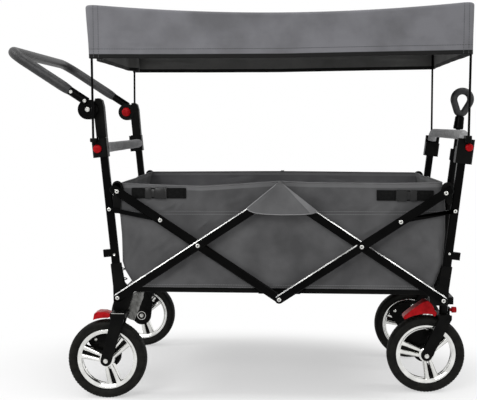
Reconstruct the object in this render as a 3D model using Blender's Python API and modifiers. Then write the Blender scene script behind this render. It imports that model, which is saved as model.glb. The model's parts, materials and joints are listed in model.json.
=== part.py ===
"""Folding hand-pulled wagon: scissor frame, fabric basket, canopy, push handle and drawbar.

Metres, +Z up, +X to the front where the drawbar is, +Y to the wagon's left. Every length along
X is measured from the middle of the scissor frame, and MID_X puts that middle in its place.
"""

import math

import bmesh
import bpy
from mathutils import Matrix, Vector

# Driving sizes of the frame
MID_X = 0.0809
HALF_SPAN = 0.408
PIVOT_Z = 0.258
SCISSOR_RISE = 0.269
POST_Y = 0.262
LEAN = {-1: 0.098, 1: 0.116}
CLEARANCE = 0.0003
OVERRUN = 0.010

# End posts, their corner castings and the stubs that the folded wagon stands on
POST_HALF_X = 0.010
POST_HALF_Y = 0.008
POST_WALL_X = 0.0019
POST_WALL_Y = 0.0018
POST_CHAMFER = 0.0025
POST_TOP = {-1: 0.613, 1: 0.602}
BORE_HALF_X = POST_HALF_X - POST_WALL_X
BORE_HALF_Y = POST_HALF_Y - POST_WALL_Y
CASTING_TOP = 0.342
CASTING_BOTTOM = {-1: 0.2225, 1: 0.2435}
CASTING_LAP = 0.006
CASTING_WALL_IN = 0.0015
CASTING_WALL_OUT = 0.0005
CASTING_IN = POST_HALF_Y + CASTING_WALL_IN
CASTING_OUT = POST_HALF_Y + CASTING_WALL_OUT
CASTING_WRAP = 0.0125
STUB_Z = 0.370
STUB_REACH = 0.0285
STUB_HALF_HEIGHT = 0.0095
STUB_HALF_Y = 0.006
CROSSBAR_INSET = 0.012
CROSSBAR_RADIUS = 0.008
CROSSBAR_X = HALF_SPAN - CROSSBAR_INSET

# Rear collars and front clamps at the tops of the posts, and the sockets of the canopy bows
COLLAR_HEIGHT = {-1: 0.048, 1: 0.058}
COLLAR_LAP = {-1: 0.0, 1: 0.003}
COLLAR_OUT = {-1: 0.0245, 1: 0.0230}
COLLAR_IN = {-1: 0.0130, 1: 0.0175}
COLLAR_Y_IN = 0.012
COLLAR_Y_OUT = 0.022
COLLAR_CHAMFER = 0.004
SOCKET_RISE = {-1: 0.000, 1: 0.008}
SOCKET_DEPTH = 0.010
SOCKET_HALF_X = 0.0075
SOCKET_FROM = 0.0135
SOCKET_MARGIN = 0.002
SOCKET_ROUND = 0.0015

# Scissor bars, stabiliser links and their rivets, in layers outside the posts
BAR_HALF_HEIGHT = 0.011
BAR_THICKNESS = 0.008
BAR_END_REACH = 0.020
BAR_END_TAPER = 0.005
BAR_END_NARROW = 0.6
LAYER_GAP = 0.0005
LINK_THICKNESS = 0.003
LINK_HALF_HEIGHT = 0.0055
LINK_HEAD_RADIUS = LINK_HALF_HEIGHT * 0.95
LINK_POST_Z = 0.481
LINK_BAR_SHARE = 0.267
RIVET_RADIUS = 0.0058
RIVET_HEIGHT = 0.0022
RIVET_SINK = 0.001
PIN_RADIUS = 0.0030
PIN_PLAY = 0.0005
PIN_HOLE_RADIUS = PIN_RADIUS + PIN_PLAY
SPACER_RADIUS = 0.0085

# Layers across Y, outwards from the outer face of the post castings
POST_FACE = POST_Y + CASTING_OUT
LINK_IN = POST_FACE + CLEARANCE
INNER_BAR_IN = LINK_IN + LINK_THICKNESS + LAYER_GAP
OUTER_BAR_IN = INNER_BAR_IN + BAR_THICKNESS + LAYER_GAP
OUTER_FACE = OUTER_BAR_IN + BAR_THICKNESS
PIN_DEPTH = INNER_BAR_IN - LAYER_GAP / 2

# Floor boards, hinged on the lower crossbars, and the slat between them
BOARD_THICKNESS = 0.014
BOARD_GAP = 0.0085
BOARD_PLAY = 0.004
SLAT_HALF = 0.0535
SLAT_DROP = 0.0018
BOARD_LENGTH = CROSSBAR_X - SLAT_HALF - BOARD_GAP
BOARD_HALF_Y = POST_Y - CASTING_IN - BOARD_PLAY
NOTCH_DEPTH = 0.024
NOTCH_PLAY = 0.006
FLOOR_BOTTOM = PIVOT_Z + CROSSBAR_RADIUS + CLEARANCE
FLOOR_TOP = FLOOR_BOTTOM + BOARD_THICKNESS

# Wheels and the forks over them
WHEEL_RADIUS = 0.100
WHEEL_STEPS = 40
TYRE_HALF_WIDTH = 0.021
TYRE_INNER = 0.0773
RIM_RADIUS = TYRE_INNER - CLEARANCE
RIM_HALF_WIDTH = 0.013
SPOKE_PHASE = 45.0
SPOKE_HALF_DEG = 15.0
HUB_RADIUS = 0.018
HUB_HALF_WIDTH = TYRE_HALF_WIDTH + 0.001
WINDOW_RADII = (HUB_RADIUS + 0.006, RIM_RADIUS - 0.010)
SLOT_RADII = (HUB_RADIUS + 0.016, RIM_RADIUS - 0.013)
SLOT_HALF_DEG = 4.0
AXLE_RADIUS = 0.0050
AXLE_PLAY = 0.0005
AXLE_PROUD = 0.0035
AXLE_HOLE_RADIUS = AXLE_RADIUS + AXLE_PLAY
REAR_AXLE_BACK = 0.028
REAR_AXLE_X = -HALF_SPAN - REAR_AXLE_BACK
REAR_WHEEL_OUT = 0.016
REAR_WHEEL_Y = POST_Y + REAR_WHEEL_OUT
FORK_PLAY = 0.002
FORK_LEG_IN = HUB_HALF_WIDTH + FORK_PLAY
FORK_LEG_THICKNESS = 0.006
FORK_EYE_RADIUS = 0.014
FORK_NECK_HALF = 0.0165
FORK_NECK_DROP = 0.010
CROWN_PROUD = 0.0004
CROWN_ABOVE_TYRE = 0.0075
REAR_CROWN_HALF = 0.0195
REAR_CROWN_X = -HALF_SPAN + 0.003

# Front casters: a socket on an arm of the front casting, the fork's stem and its swivel lock
CASTER_FORWARD = 0.0165
CASTER_X = HALF_SPAN + CASTER_FORWARD
CASTER_Y = 0.180
CASTER_TRAIL = 0.045
FRONT_AXLE_X = CASTER_X - CASTER_TRAIL
STEM_RADIUS = 0.0070
STEM_PLAY = 0.0005
SOCKET_BORE = STEM_RADIUS + STEM_PLAY
SOCKET_RADIUS = SOCKET_BORE + 0.0035
SOCKET_BOTTOM = 0.2072
SOCKET_TOP = 0.2620
ARM_BACK = 0.014
ARM_FRONT = 0.0125
CASTER_CROWN_TOP = SOCKET_BOTTOM - 0.0007
CASTER_CROWN_DEPTH = 0.0105
CASTER_CROWN_FRONT = 0.0135
LOCK_BRACKET_GAP = 0.0012
LOCK_BRACKET_THICKNESS = 0.0035
LOCK_BRACKET_HEIGHT = 0.0165
LOCK_BRACKET_HALF_Y = 0.0065
LOCK_NECK_RADIUS = 0.0045
LOCK_NECK_LENGTH = 0.0055
LOCK_KNOB_RADIUS = 0.0082
LOCK_KNOB_END = 0.0170
LOCK_RISE = 0.0092

# Brake pedals: a lug on the crown's edge and a shoe over the tyre
PEDAL_HALF_WIDTH = 0.019
PEDAL_OVER_TYRE = 0.0075
PEDAL_ROUND = 0.0015
PEDAL_LUG = {-1: 0.0050, 1: 0.0080}
PEDAL_RISE = {-1: 0.0065, 1: 0.0020}

# Push handle, its telescoping legs and the tilt hubs
HUB_Z = 0.732
HUB_OUT = 0.024
HUB_DISC_RADIUS = 0.025
HUB_DISC_IN = POST_Y - 0.0115
HUB_DISC_OUT = POST_Y + 0.0124
EYE_DISC_IN = HUB_DISC_OUT + 0.0005
EYE_DISC_THICKNESS = 0.0150
HOUSING_Y_IN = 0.0105
HOUSING_Y_OUT = 0.0110
HOUSING_HALF = 0.0125
LEG_BOTTOM = 0.470
HANDLE_RISE_DEG = 33.0
HANDLE_START = 0.012
HANDLE_LENGTH = 0.245
HANDLE_OFFSET = 0.015
HANDLE_TUBE_RADIUS = 0.011
HANDLE_TUBE_OUT = 0.024
HANDLE_TUBE_Y = POST_Y + HANDLE_TUBE_OUT
HANDLE_CORNER = 0.050
FOAM_RADIUS = 0.0125
FOAM_BORE = HANDLE_TUBE_RADIUS + 0.0002
FOAM_START = 0.063
GRIP_X_IN = 0.005
GRIP_Z = 0.6365

# Front arch and its foam
ARCH_Z = 0.669
ARCH_TUBE_RADIUS = 0.0058
ARCH_FOAM_RADIUS = 0.0125
ARCH_CORNER = 0.026
ARCH_LEG_BOTTOM = 0.500
ELBOW_PLAY = 0.002
ELBOW_DROP = 0.004
ELBOW_Y_IN = 0.020

# Push buttons: radius and height, with the pocket each one slides in
HUB_BUTTON_RADIUS = 0.0135
LOCK_BUTTON_RADIUS = {-1: 0.0105, 1: 0.0095}
BUTTON_OUT = {-1: 0.0110, 1: 0.0105}
BUTTON_Z = {-1: 0.635, 1: 0.640}
BUTTON_HEIGHT = 0.0100
BUTTON_TRAVEL = 0.003
BUTTON_RIM_SHARE = 0.75
BUTTON_CROWN_SHARE = 0.72
POCKET_DEPTH = 0.0055
POCKET_PLAY = 0.0007
POCKET_OVERRUN = 0.012

# Canopy and its two wire bows
CANOPY_HALF_Y = POST_Y + 0.058
CANOPY_BACK = HALF_SPAN + 0.060
CANOPY_FRONT = HALF_SPAN + 0.0555
CANOPY_TOP = 0.985
CANOPY_BOTTOM = 0.8645
CANOPY_SAG = 0.021
CANOPY_THICKNESS = 0.0025
CANOPY_DRAW_IN = 0.0030
CANOPY_WAVE = 0.0035
CANOPY_WAVES = 11
CANOPY_CUTS = {0: 31, 1: 5, 2: 1}
BOW_RADIUS = 0.0030
BOW_SEAT = 0.0003
BOW_X = {-1: -(CANOPY_BACK - CANOPY_THICKNESS - BOW_RADIUS - BOW_SEAT),
         1: CANOPY_FRONT - CANOPY_THICKNESS - BOW_RADIUS - BOW_SEAT}
BOW_FOOT_Y = POST_Y + 0.0395
BOW_TOP_Y = CANOPY_HALF_Y - 0.010
BOW_TOP_Z = CANOPY_TOP - CANOPY_THICKNESS - BOW_RADIUS - 0.0010
BOW_CORNER = 0.016

# Basket, with the flap that hangs over the bars in the middle of each side
BASKET_HALF_X = HALF_SPAN - 0.008
BASKET_HALF_Y = POST_FACE - 0.0010
BASKET_TOP = 0.547
BASKET_BOTTOM = FLOOR_TOP + CLEARANCE
BASKET_WALL = 0.0025
BASKET_CORNERS = [(0.0, 0.0635), (0.0220, 0.0240), (0.0500, 0.0)]
FLAP_OUT = OUTER_FACE + RIVET_HEIGHT + 0.0010
FLAP_THICKNESS = 0.0020
FLAP_HALF_WIDTH = 0.086
FLAP_TOP_SHARE = 0.62
FLAP_LOW_SHARE = 0.55
FLAP_SHOULDER = 0.060
FLAP_DROP = 0.074
RIDGE_TOP = 0.0040
RIDGE_HEIGHT = 0.0025

# Drawbar
DRAWBAR_FORWARD = 0.026
DRAWBAR_FOOT_X = HALF_SPAN + DRAWBAR_FORWARD
DRAWBAR_FOOT_Z = 0.250
DRAWBAR_LEAN = 0.118
DRAWBAR_TUBE_RADIUS = 0.0100
DRAWBAR_ROD_RADIUS = 0.0060
DRAWBAR_BORE = DRAWBAR_ROD_RADIUS + 0.0006
DRAWBAR_COLLAR_RADIUS = 0.0130
DRAWBAR_TUBE_LENGTH = 0.380
DRAWBAR_COLLAR_LENGTH = 0.033
DRAWBAR_TUBE_START = 0.016
DRAWBAR_EYE_RADIUS = 0.0095
DRAWBAR_EYE_HALF = 0.0090
DRAWBAR_EYE_TOP = 0.024
DRAWBAR_ROD_START = DRAWBAR_EYE_TOP + CLEARANCE
DRAWBAR_KNOT_START = 0.434
DRAWBAR_KNOT_END = 0.470
DRAWBAR_KNOT_RADII = (0.0135, 0.0120)
LOOP_LOW_RADIUS = 0.0110
LOOP_HIGH_RADIUS = 0.0225
LOOP_CENTRES = 0.028
LOOP_SINK = 0.0075
LOOP_FOAM_RADIUS = 0.0095
LUG_GAP = 0.0125
LUG_THICKNESS = 0.004
LUG_RADIUS = 0.011
LUG_PLAY = 0.0005

UPPER_Z = PIVOT_Z + SCISSOR_RISE
MIDDLE_Z = PIVOT_Z + SCISSOR_RISE / 2
SIDES = {"right": -1, "left": 1}

for old in list(bpy.data.objects):
    bpy.data.objects.remove(old, do_unlink=True)

wagon = bpy.data.collections.new("hand_pulled_wagon")
cutters = bpy.data.collections.new("cutters")
for group in (wagon, cutters):
    bpy.context.scene.collection.children.link(group)


def material(name, colour, roughness, metallic=0.0):
    """A plain Principled material in the part's own colour."""
    made = bpy.data.materials.new(name)
    made.use_nodes = True
    shader = made.node_tree.nodes["Principled BSDF"]
    shader.inputs["Base Color"].default_value = (*colour, 1.0)
    shader.inputs["Roughness"].default_value = roughness
    shader.inputs["Metallic"].default_value = metallic
    return made


FRAME_BLACK = material("frame_black", (0.012, 0.012, 0.012), 0.35)
PLASTIC_BLACK = material("plastic_black", (0.018, 0.018, 0.018), 0.5)
FOAM_DARK = material("foam_dark", (0.045, 0.045, 0.047), 0.9)
FOAM_GREY = material("foam_grey", (0.20, 0.20, 0.20), 0.9)
RED_PLASTIC = material("red_plastic", (0.40, 0.012, 0.012), 0.35)
TYRE_RUBBER = material("tyre_rubber", (0.014, 0.014, 0.013), 0.8)
RIM_SILVER = material("rim_silver", (0.75, 0.75, 0.75), 0.15, 1.0)
BASKET_GREY = material("basket_grey", (0.10, 0.10, 0.102), 0.9)
CANOPY_GREY = material("canopy_grey", (0.16, 0.16, 0.165), 0.9)


def pivot(name, x, y, z):
    """An empty on a joint's axis, which the moving pieces hang from."""
    empty = bpy.data.objects.new(name, None)
    empty.location = (MID_X + x, y, z)
    empty.empty_display_size = 0.02
    wagon.objects.link(empty)
    return empty


def publish(piece, name, finish, joint=None):
    """Names a finished piece, gives it its material and hangs it from its joint's empty."""
    piece.name = name
    piece.data.name = name
    piece.data.materials.clear()
    piece.data.materials.append(finish)
    piece.data.shade_smooth()
    piece.data.set_sharp_from_angle(angle=math.radians(35))
    if joint is not None:
        piece.parent = joint
        piece.matrix_parent_inverse = Matrix.Translation(-joint.location)
    return piece


def object_from(bm, name):
    """Turns a bmesh into an object of the wagon."""
    mesh = bpy.data.meshes.new(name)
    bm.to_mesh(mesh)
    bm.free()
    made = bpy.data.objects.new(name, mesh)
    wagon.objects.link(made)
    return made


def to_mesh(curve_object):
    """Turns a curve into a welded mesh whose place is in its points."""
    wagon.objects.link(curve_object)
    depsgraph = bpy.context.evaluated_depsgraph_get()
    mesh = bpy.data.meshes.new_from_object(curve_object.evaluated_get(depsgraph))
    mesh.transform(curve_object.matrix_world)
    bm = bmesh.new()
    bm.from_mesh(mesh)
    bmesh.ops.remove_doubles(bm, verts=bm.verts, dist=0.00001)
    bmesh.ops.recalc_face_normals(bm, faces=bm.faces)
    curve = curve_object.data
    bpy.data.objects.remove(curve_object, do_unlink=True)
    bpy.data.curves.remove(curve)
    bpy.data.meshes.remove(mesh)
    return object_from(bm, "solid")


def hide_operand(piece):
    """Keeps a piece that only serves a Boolean out of the wagon."""
    wagon.objects.unlink(piece)
    cutters.objects.link(piece)
    piece.hide_render = True
    piece.display_type = "WIRE"


def combine(piece, others, operation):
    """Adds one exact Boolean for each of the other solids."""
    for other in others:
        step = piece.modifiers.new(operation.lower(), "BOOLEAN")
        step.operation = operation
        step.solver = "EXACT"
        step.object = other
        hide_operand(other)
    return piece


def join(piece, *others):
    """Fuses other solids to a piece."""
    return combine(piece, others, "UNION")


def cut(piece, *others):
    """Takes other solids out of a piece."""
    return combine(piece, others, "DIFFERENCE")


def extrude(loops, depth, placing):
    """A flat outline with its holes, extruded by depth about its own plane and then placed."""
    curve = bpy.data.curves.new("outline", "CURVE")
    curve.dimensions = "2D"
    curve.fill_mode = "BOTH"
    curve.extrude = depth / 2
    for loop in loops:
        spline = curve.splines.new("POLY")
        spline.points.add(len(loop) - 1)
        spline.use_cyclic_u = True
        for point, (u, v) in zip(spline.points, loop):
            point.co = (u, v, 0.0, 1.0)
    flat = bpy.data.objects.new("outline", curve)
    flat.matrix_world = placing
    return to_mesh(flat)


def plate(outline, y_from, y_to, holes=()):
    """An outline in the X-Z plane, extruded along Y between two distances."""
    middle = Matrix.Translation((MID_X, (y_from + y_to) / 2, 0))
    placing = middle @ Matrix.Rotation(math.pi / 2, 4, "X")
    return extrude([outline, *holes], abs(y_to - y_from), placing)


def box(x_from, x_to, y_from, y_to, z_from, z_to, rounding=0.0):
    """A block between two corners, with its edges rounded."""
    low = Vector((MID_X + min(x_from, x_to), min(y_from, y_to), min(z_from, z_to)))
    high = Vector((MID_X + max(x_from, x_to), max(y_from, y_to), max(z_from, z_to)))
    bm = bmesh.new()
    size = high - low
    placing = Matrix.Translation((low + high) / 2) @ Matrix.Diagonal((*size, 1.0))
    bmesh.ops.create_cube(bm, size=1.0, matrix=placing)
    made = object_from(bm, "block")
    if rounding:
        soften(made, rounding)
    return made


def soften(piece, width, segments=2):
    """Rounds the sharp edges of a piece."""
    rounding = piece.modifiers.new("rounding", "BEVEL")
    rounding.width = width
    rounding.segments = segments
    rounding.limit_method = "ANGLE"
    rounding.angle_limit = math.radians(40)
    return piece


def rod(start, end, radius, sides=16, end_radius=None):
    """A round bar or cone between two points, given as x, y, z."""
    a = Vector(start) + Vector((MID_X, 0, 0))
    b = Vector(end) + Vector((MID_X, 0, 0))
    along = b - a
    placing = Matrix.Translation((a + b) / 2) @ along.to_track_quat("Z", "Y").to_matrix().to_4x4()
    bm = bmesh.new()
    bmesh.ops.create_cone(bm, cap_ends=True, segments=sides, radius1=radius,
                          radius2=radius if end_radius is None else end_radius,
                          depth=along.length, matrix=placing)
    return object_from(bm, "rod")


def tube(points, radius, detail=3, closed=False):
    """A round tube along points, given as x, y, z."""
    curve = bpy.data.curves.new("route", "CURVE")
    curve.dimensions = "3D"
    curve.bevel_depth = radius
    curve.bevel_resolution = detail
    curve.use_fill_caps = not closed
    spline = curve.splines.new("POLY")
    spline.points.add(len(points) - 1)
    spline.use_cyclic_u = closed
    for point, (x, y, z) in zip(spline.points, points):
        point.co = (MID_X + x, y, z, 1.0)
    return to_mesh(bpy.data.objects.new("route", curve))


def turned(profile, placing, steps):
    """A profile of radius and height, top to bottom on its outer side, turned about its axis."""
    bm = bmesh.new()
    points = [bm.verts.new((radius, 0.0, height)) for radius, height in profile]
    for first, second in zip(points, points[1:] + points[:1]):
        bm.edges.new((first, second))
    made = object_from(bm, "turned")
    made.matrix_world = placing
    screw = made.modifiers.new("screw", "SCREW")
    screw.steps = steps
    screw.render_steps = steps
    screw.use_merge_vertices = True
    screw.merge_threshold = 0.0001
    return made


def arc(centre, radius, first_deg, last_deg, count):
    """Points on an arc, from one angle to the other."""
    step = (last_deg - first_deg) / (count - 1)
    angles = [math.radians(first_deg + step * i) for i in range(count)]
    return [(centre[0] + radius * math.cos(a), centre[1] + radius * math.sin(a)) for a in angles]


def post_x(end, z):
    """The middle of an end post at a height, -1 for the rear and 1 for the front."""
    return end * (HALF_SPAN + LEAN[end] * (z - PIVOT_Z))


def beside_post(end, z, out):
    """A point beside the post's middle line: out from it, square to its lean."""
    scale = math.hypot(1.0, LEAN[end])
    return (post_x(end, z) + end * out / scale, z - LEAN[end] * out / scale)


def along_post(end, loops, z_from, z_to):
    """An outline across the post, in out and y, extruded along the post between two heights."""
    scale = math.hypot(1.0, LEAN[end])
    axis = Vector((end * LEAN[end], 0.0, 1.0)) / scale
    outwards = Vector((end, 0.0, -LEAN[end])) / scale
    middle = (z_from + z_to) / 2
    turn = Matrix((outwards, Vector((0, 1, 0)), axis)).transposed().to_4x4()
    placing = Matrix.Translation((MID_X + post_x(end, middle), 0, middle)) @ turn
    return extrude(loops, (z_to - z_from) * scale, placing)


def rectangle(u_from, u_to, v_from, v_to):
    """The four corners of a rectangle."""
    return [(u_from, v_from), (u_to, v_from), (u_to, v_to), (u_from, v_to)]


def chamfered(u_from, u_to, v_from, v_to, corner):
    """A rectangle with its corners cut off."""
    low_u, high_u = sorted((u_from, u_to))
    low_v, high_v = sorted((v_from, v_to))
    return [(low_u + corner, low_v), (high_u - corner, low_v), (high_u, low_v + corner),
            (high_u, high_v - corner), (high_u - corner, high_v), (low_u + corner, high_v),
            (low_u, high_v - corner), (low_u, low_v + corner)]


# Joint empties
fold = pivot("fold_axis", -HALF_SPAN, 0, PIVOT_Z)
front_bar_axis = pivot("front_inner_bar_axis", 0, 0, UPPER_Z)
rear_cross_axis = pivot("rear_inner_bar_axis", -HALF_SPAN / 2, 0, MIDDLE_Z)
front_cross_axis = pivot("front_outer_bar_axis", HALF_SPAN / 2, 0, MIDDLE_Z)
front_frame = pivot("front_frame_axis", HALF_SPAN, 0, PIVOT_Z)
centre_axis = pivot("floor_centre_axis", 0, 0, PIVOT_Z)
handle_slide = pivot("handle_slide_axis", post_x(-1, POST_TOP[-1]), 0, POST_TOP[-1])
hub_x = post_x(-1, HUB_Z) - HUB_OUT
handle_tilt = pivot("handle_tilt_axis", hub_x, 0, HUB_Z)
drawbar_axis = pivot("drawbar_axis", DRAWBAR_FOOT_X, 0, DRAWBAR_FOOT_Z)


# End posts with their corner castings
def casting_outline(end):
    """The casting round the foot of a post, widened inwards for the crossbar."""
    base = CASTING_BOTTOM[end]
    x_pivot = end * HALF_SPAN
    top_out = beside_post(end, CASTING_TOP, CASTING_WRAP)
    top_in = beside_post(end, CASTING_TOP, -CASTING_WRAP)
    shape = [(0.0150, PIVOT_Z + 0.027), (0.0135, base), (-0.0215, base),
             (-0.0320, PIVOT_Z - 0.006), (-0.0335, PIVOT_Z + 0.006), (-0.0280, PIVOT_Z + 0.018),
             (-0.0130, PIVOT_Z + 0.034)]
    return [top_out] + [(x_pivot + end * out, z) for out, z in shape] + [top_in]


def end_post(end, side):
    """A post fused to its casting and stub, still without its bore."""
    y_mid = side * POST_Y
    section = chamfered(-POST_HALF_X, POST_HALF_X, y_mid - POST_HALF_Y, y_mid + POST_HALF_Y, POST_CHAMFER)
    post = along_post(end, [section], CASTING_TOP - CASTING_LAP, POST_TOP[end] - CLEARANCE)
    casting = plate(casting_outline(end), side * (POST_Y - CASTING_IN), side * (POST_Y + CASTING_OUT))
    root = POST_HALF_X - RIVET_SINK
    stub = plate([beside_post(end, STUB_Z + STUB_HALF_HEIGHT, root),
                  beside_post(end, STUB_Z + STUB_HALF_HEIGHT, STUB_REACH),
                  beside_post(end, STUB_Z - STUB_HALF_HEIGHT, STUB_REACH),
                  beside_post(end, STUB_Z - STUB_HALF_HEIGHT, root)],
                 y_mid - STUB_HALF_Y, y_mid + STUB_HALF_Y)
    return join(post, casting, stub)


def socket_at(end, side):
    """The block on a collar or clamp that takes the foot of a canopy bow."""
    low = collar_top(end) - SOCKET_DEPTH
    return box(BOW_X[end] - SOCKET_HALF_X, BOW_X[end] + SOCKET_HALF_X, side * (POST_Y + SOCKET_FROM),
               side * (BOW_FOOT_Y + BOW_RADIUS + SOCKET_MARGIN), low, bow_foot(end) - CLEARANCE,
               SOCKET_ROUND)


def collar_top(end):
    """The height of the top of the rear collar or the front clamp at the post's middle."""
    return POST_TOP[end] + COLLAR_HEIGHT[end]


def bow_foot(end):
    """The height at which a canopy bow stands in its socket."""
    return collar_top(end) + SOCKET_RISE[end]


def button_pocket(centre, face_y, inwards, radius):
    """The cutter for a push button's pocket; inwards is the direction into the material along Y."""
    x, z = centre
    return rod((x, face_y - inwards * POCKET_OVERRUN, z), (x, face_y + inwards * POCKET_DEPTH, z),
               radius + POCKET_PLAY, 20)


def button(centre, face_y, inwards, radius):
    """A domed push button, which stands out of its pocket by its height less its seat."""
    x, z = centre
    seat = POCKET_DEPTH - BUTTON_TRAVEL - CLEARANCE
    foot = (x, face_y + inwards * seat, z)
    rim = (x, face_y + inwards * (seat - BUTTON_HEIGHT * BUTTON_RIM_SHARE), z)
    crown = (x, face_y + inwards * (seat - BUTTON_HEIGHT), z)
    cap = rod(rim, crown, radius, 20, radius * BUTTON_CROWN_SHARE)
    return join(rod(foot, (x, rim[1] - inwards * 0.0002, z), radius, 20), cap)


def collar(end, side):
    """The rear collar or the front clamp: a block round the post's top with its bow's socket."""
    outline = chamfered(-COLLAR_IN[end], COLLAR_OUT[end], side * (POST_Y - COLLAR_Y_IN),
                        side * (POST_Y + COLLAR_Y_OUT), COLLAR_CHAMFER)
    low = POST_TOP[end] - COLLAR_LAP[end]
    return join(along_post(end, [outline], low, collar_top(end)), socket_at(end, side))


def post_bore(end, side, z_from, z_to):
    """The cutter for the hollow that the handle's leg or the arch slides in."""
    y_mid = side * POST_Y
    hollow = rectangle(-BORE_HALF_X, BORE_HALF_X, y_mid - BORE_HALF_Y, y_mid + BORE_HALF_Y)
    return along_post(end, [hollow], z_from, z_to)


def lock_pocket(end, side):
    """The cutter for the pocket of a collar's or clamp's button."""
    centre = beside_post(end, BUTTON_Z[end], BUTTON_OUT[end])
    return button_pocket(centre, side * (POST_Y + COLLAR_Y_OUT), -side, LOCK_BUTTON_RADIUS[end])


bore_foot = CASTING_TOP - CASTING_LAP / 2
for word, side in SIDES.items():
    rear = cut(end_post(-1, side), post_bore(-1, side, bore_foot, POST_TOP[-1] + OVERRUN))
    publish(rear, "rear_post_" + word, FRAME_BLACK)
    rear_collar = collar(-1, side)
    collar_bore = post_bore(-1, side, POST_TOP[-1] - OVERRUN, collar_top(-1) + OVERRUN)
    cut(rear_collar, collar_bore, lock_pocket(-1, side))
    publish(rear_collar, "rear_collar_" + word, PLASTIC_BLACK)

    front = end_post(1, side)
    caster = (CASTER_X, side * CASTER_Y)
    arm = box(CASTER_X - ARM_BACK, CASTER_X + ARM_FRONT, side * (CASTER_Y - 0.002),
              side * (POST_Y - CASTING_IN + 0.003), CASTING_BOTTOM[1] + 0.0005, SOCKET_TOP)
    socket = rod((*caster, SOCKET_BOTTOM), (*caster, SOCKET_TOP - 0.0006), SOCKET_RADIUS, 20)
    stem_bore = rod((*caster, SOCKET_BOTTOM - 0.005), (*caster, SOCKET_TOP - 0.008), SOCKET_BORE, 20)
    join(front, collar(1, side), arm, socket)
    elbow = rectangle(-COLLAR_IN[1] - ELBOW_PLAY, COLLAR_OUT[1] + ELBOW_PLAY,
                      side * (POST_Y - ELBOW_Y_IN), side * (POST_Y + BORE_HALF_Y))
    elbow_room = along_post(1, [elbow], ARCH_Z - ARCH_CORNER - ELBOW_DROP, collar_top(1) + 2 * OVERRUN)
    arch_bore = post_bore(1, side, bore_foot, collar_top(1) + OVERRUN)
    cut(front, arch_bore, lock_pocket(1, side), stem_bore, elbow_room)
    publish(front, "front_post_" + word, FRAME_BLACK, front_frame)

for word, side in SIDES.items():
    for end, name in ((-1, "collar_button_"), (1, "clamp_button_")):
        y_out = side * (POST_Y + COLLAR_Y_OUT)
        centre = beside_post(end, BUTTON_Z[end], BUTTON_OUT[end])
        axis = pivot(name + word + "_axis", centre[0], y_out, centre[1])
        publish(button(centre, y_out, -side, LOCK_BUTTON_RADIUS[end]), name + word, RED_PLASTIC, axis)


# Lower crossbars; the front one carries the drawbar's lug
def crossbar(end):
    """A round bar between the two castings of one end."""
    reach = POST_Y - CASTING_IN - CLEARANCE
    return rod((end * CROSSBAR_X, -reach, PIVOT_Z), (end * CROSSBAR_X, reach, PIVOT_Z), CROSSBAR_RADIUS)


publish(crossbar(-1), "rear_lower_crossbar", FRAME_BLACK)
front_bar = crossbar(1)
for y_from in (-LUG_GAP - LUG_THICKNESS, LUG_GAP):
    ear = arc((DRAWBAR_FOOT_X, DRAWBAR_FOOT_Z), LUG_RADIUS, -100, 90, 9)
    ear += [(CROSSBAR_X + 0.002, PIVOT_Z + 0.0060), (CROSSBAR_X + 0.002, PIVOT_Z - 0.0065)]
    join(front_bar, plate(ear, y_from, y_from + LUG_THICKNESS))
pin_reach = LUG_GAP + LUG_THICKNESS + RIVET_HEIGHT
join(front_bar, rod((DRAWBAR_FOOT_X, -pin_reach, DRAWBAR_FOOT_Z),
                    (DRAWBAR_FOOT_X, pin_reach, DRAWBAR_FOOT_Z), PIN_RADIUS, 12))
publish(front_bar, "front_lower_crossbar", FRAME_BLACK, front_frame)

# Rear grip bar between the collars
grip_x = post_x(-1, GRIP_Z) + GRIP_X_IN
grip_reach = POST_Y - COLLAR_Y_IN - CLEARANCE
publish(soften(rod((grip_x, -grip_reach, GRIP_Z), (grip_x, grip_reach, GRIP_Z), FOAM_RADIUS), 0.002, 1),
        "rear_grip", FOAM_GREY)


# Scissor bars
def bar_outline(start, end, reach=0.0):
    """A flat bar from one pivot to another with round ends; reach lengthens its far end squarely."""
    way = Vector((end[0] - start[0], end[1] - start[1]))
    heading = math.degrees(math.atan2(way.y, way.x))
    outline = arc(start, BAR_HALF_HEIGHT, heading + 90, heading + 270, 9)
    if reach == 0.0:
        return outline + arc(end, BAR_HALF_HEIGHT, heading - 90, heading + 90, 9)
    unit = way.normalized()
    side_step = Vector((-unit.y, unit.x)) * BAR_HALF_HEIGHT
    tip = Vector(end) + unit * reach
    shoulder = tip - unit * BAR_END_TAPER
    narrow = side_step * BAR_END_NARROW
    return outline + [tuple(shoulder - side_step), tuple(tip - narrow), tuple(tip + narrow),
                      tuple(shoulder + side_step)]


def pivot_hole(point):
    """The hole of a pivot pin, as a loop."""
    return arc(point, PIN_HOLE_RADIUS, 0, 337.5, 16)


def across(point, y_from, y_to, radius, sides=12):
    """A pin or rivet head across Y at a point in the X-Z plane."""
    return rod((point[0], y_from, point[1]), (point[0], y_to, point[1]), radius, sides)


A_REAR = (-HALF_SPAN, UPPER_Z)
A_FRONT = (HALF_SPAN, UPPER_Z)
B_REAR = (-HALF_SPAN, PIVOT_Z)
B_FRONT = (HALF_SPAN, PIVOT_Z)
C_TOP = (0.0, UPPER_Z)
C_LOW = (0.0, PIVOT_Z)
M_REAR = (-HALF_SPAN / 2, MIDDLE_Z)
M_FRONT = (HALF_SPAN / 2, MIDDLE_Z)


def on_line(start, end, share):
    """The point at a share of the way between two points."""
    return (start[0] + (end[0] - start[0]) * share, start[1] + (end[1] - start[1]) * share)


Q_REAR = on_line(A_REAR, C_LOW, LINK_BAR_SHARE)
Q_FRONT = on_line(A_FRONT, C_LOW, LINK_BAR_SHARE)
P_REAR = (post_x(-1, LINK_POST_Z), LINK_POST_Z)
P_FRONT = (post_x(1, LINK_POST_Z), LINK_POST_Z)


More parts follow.
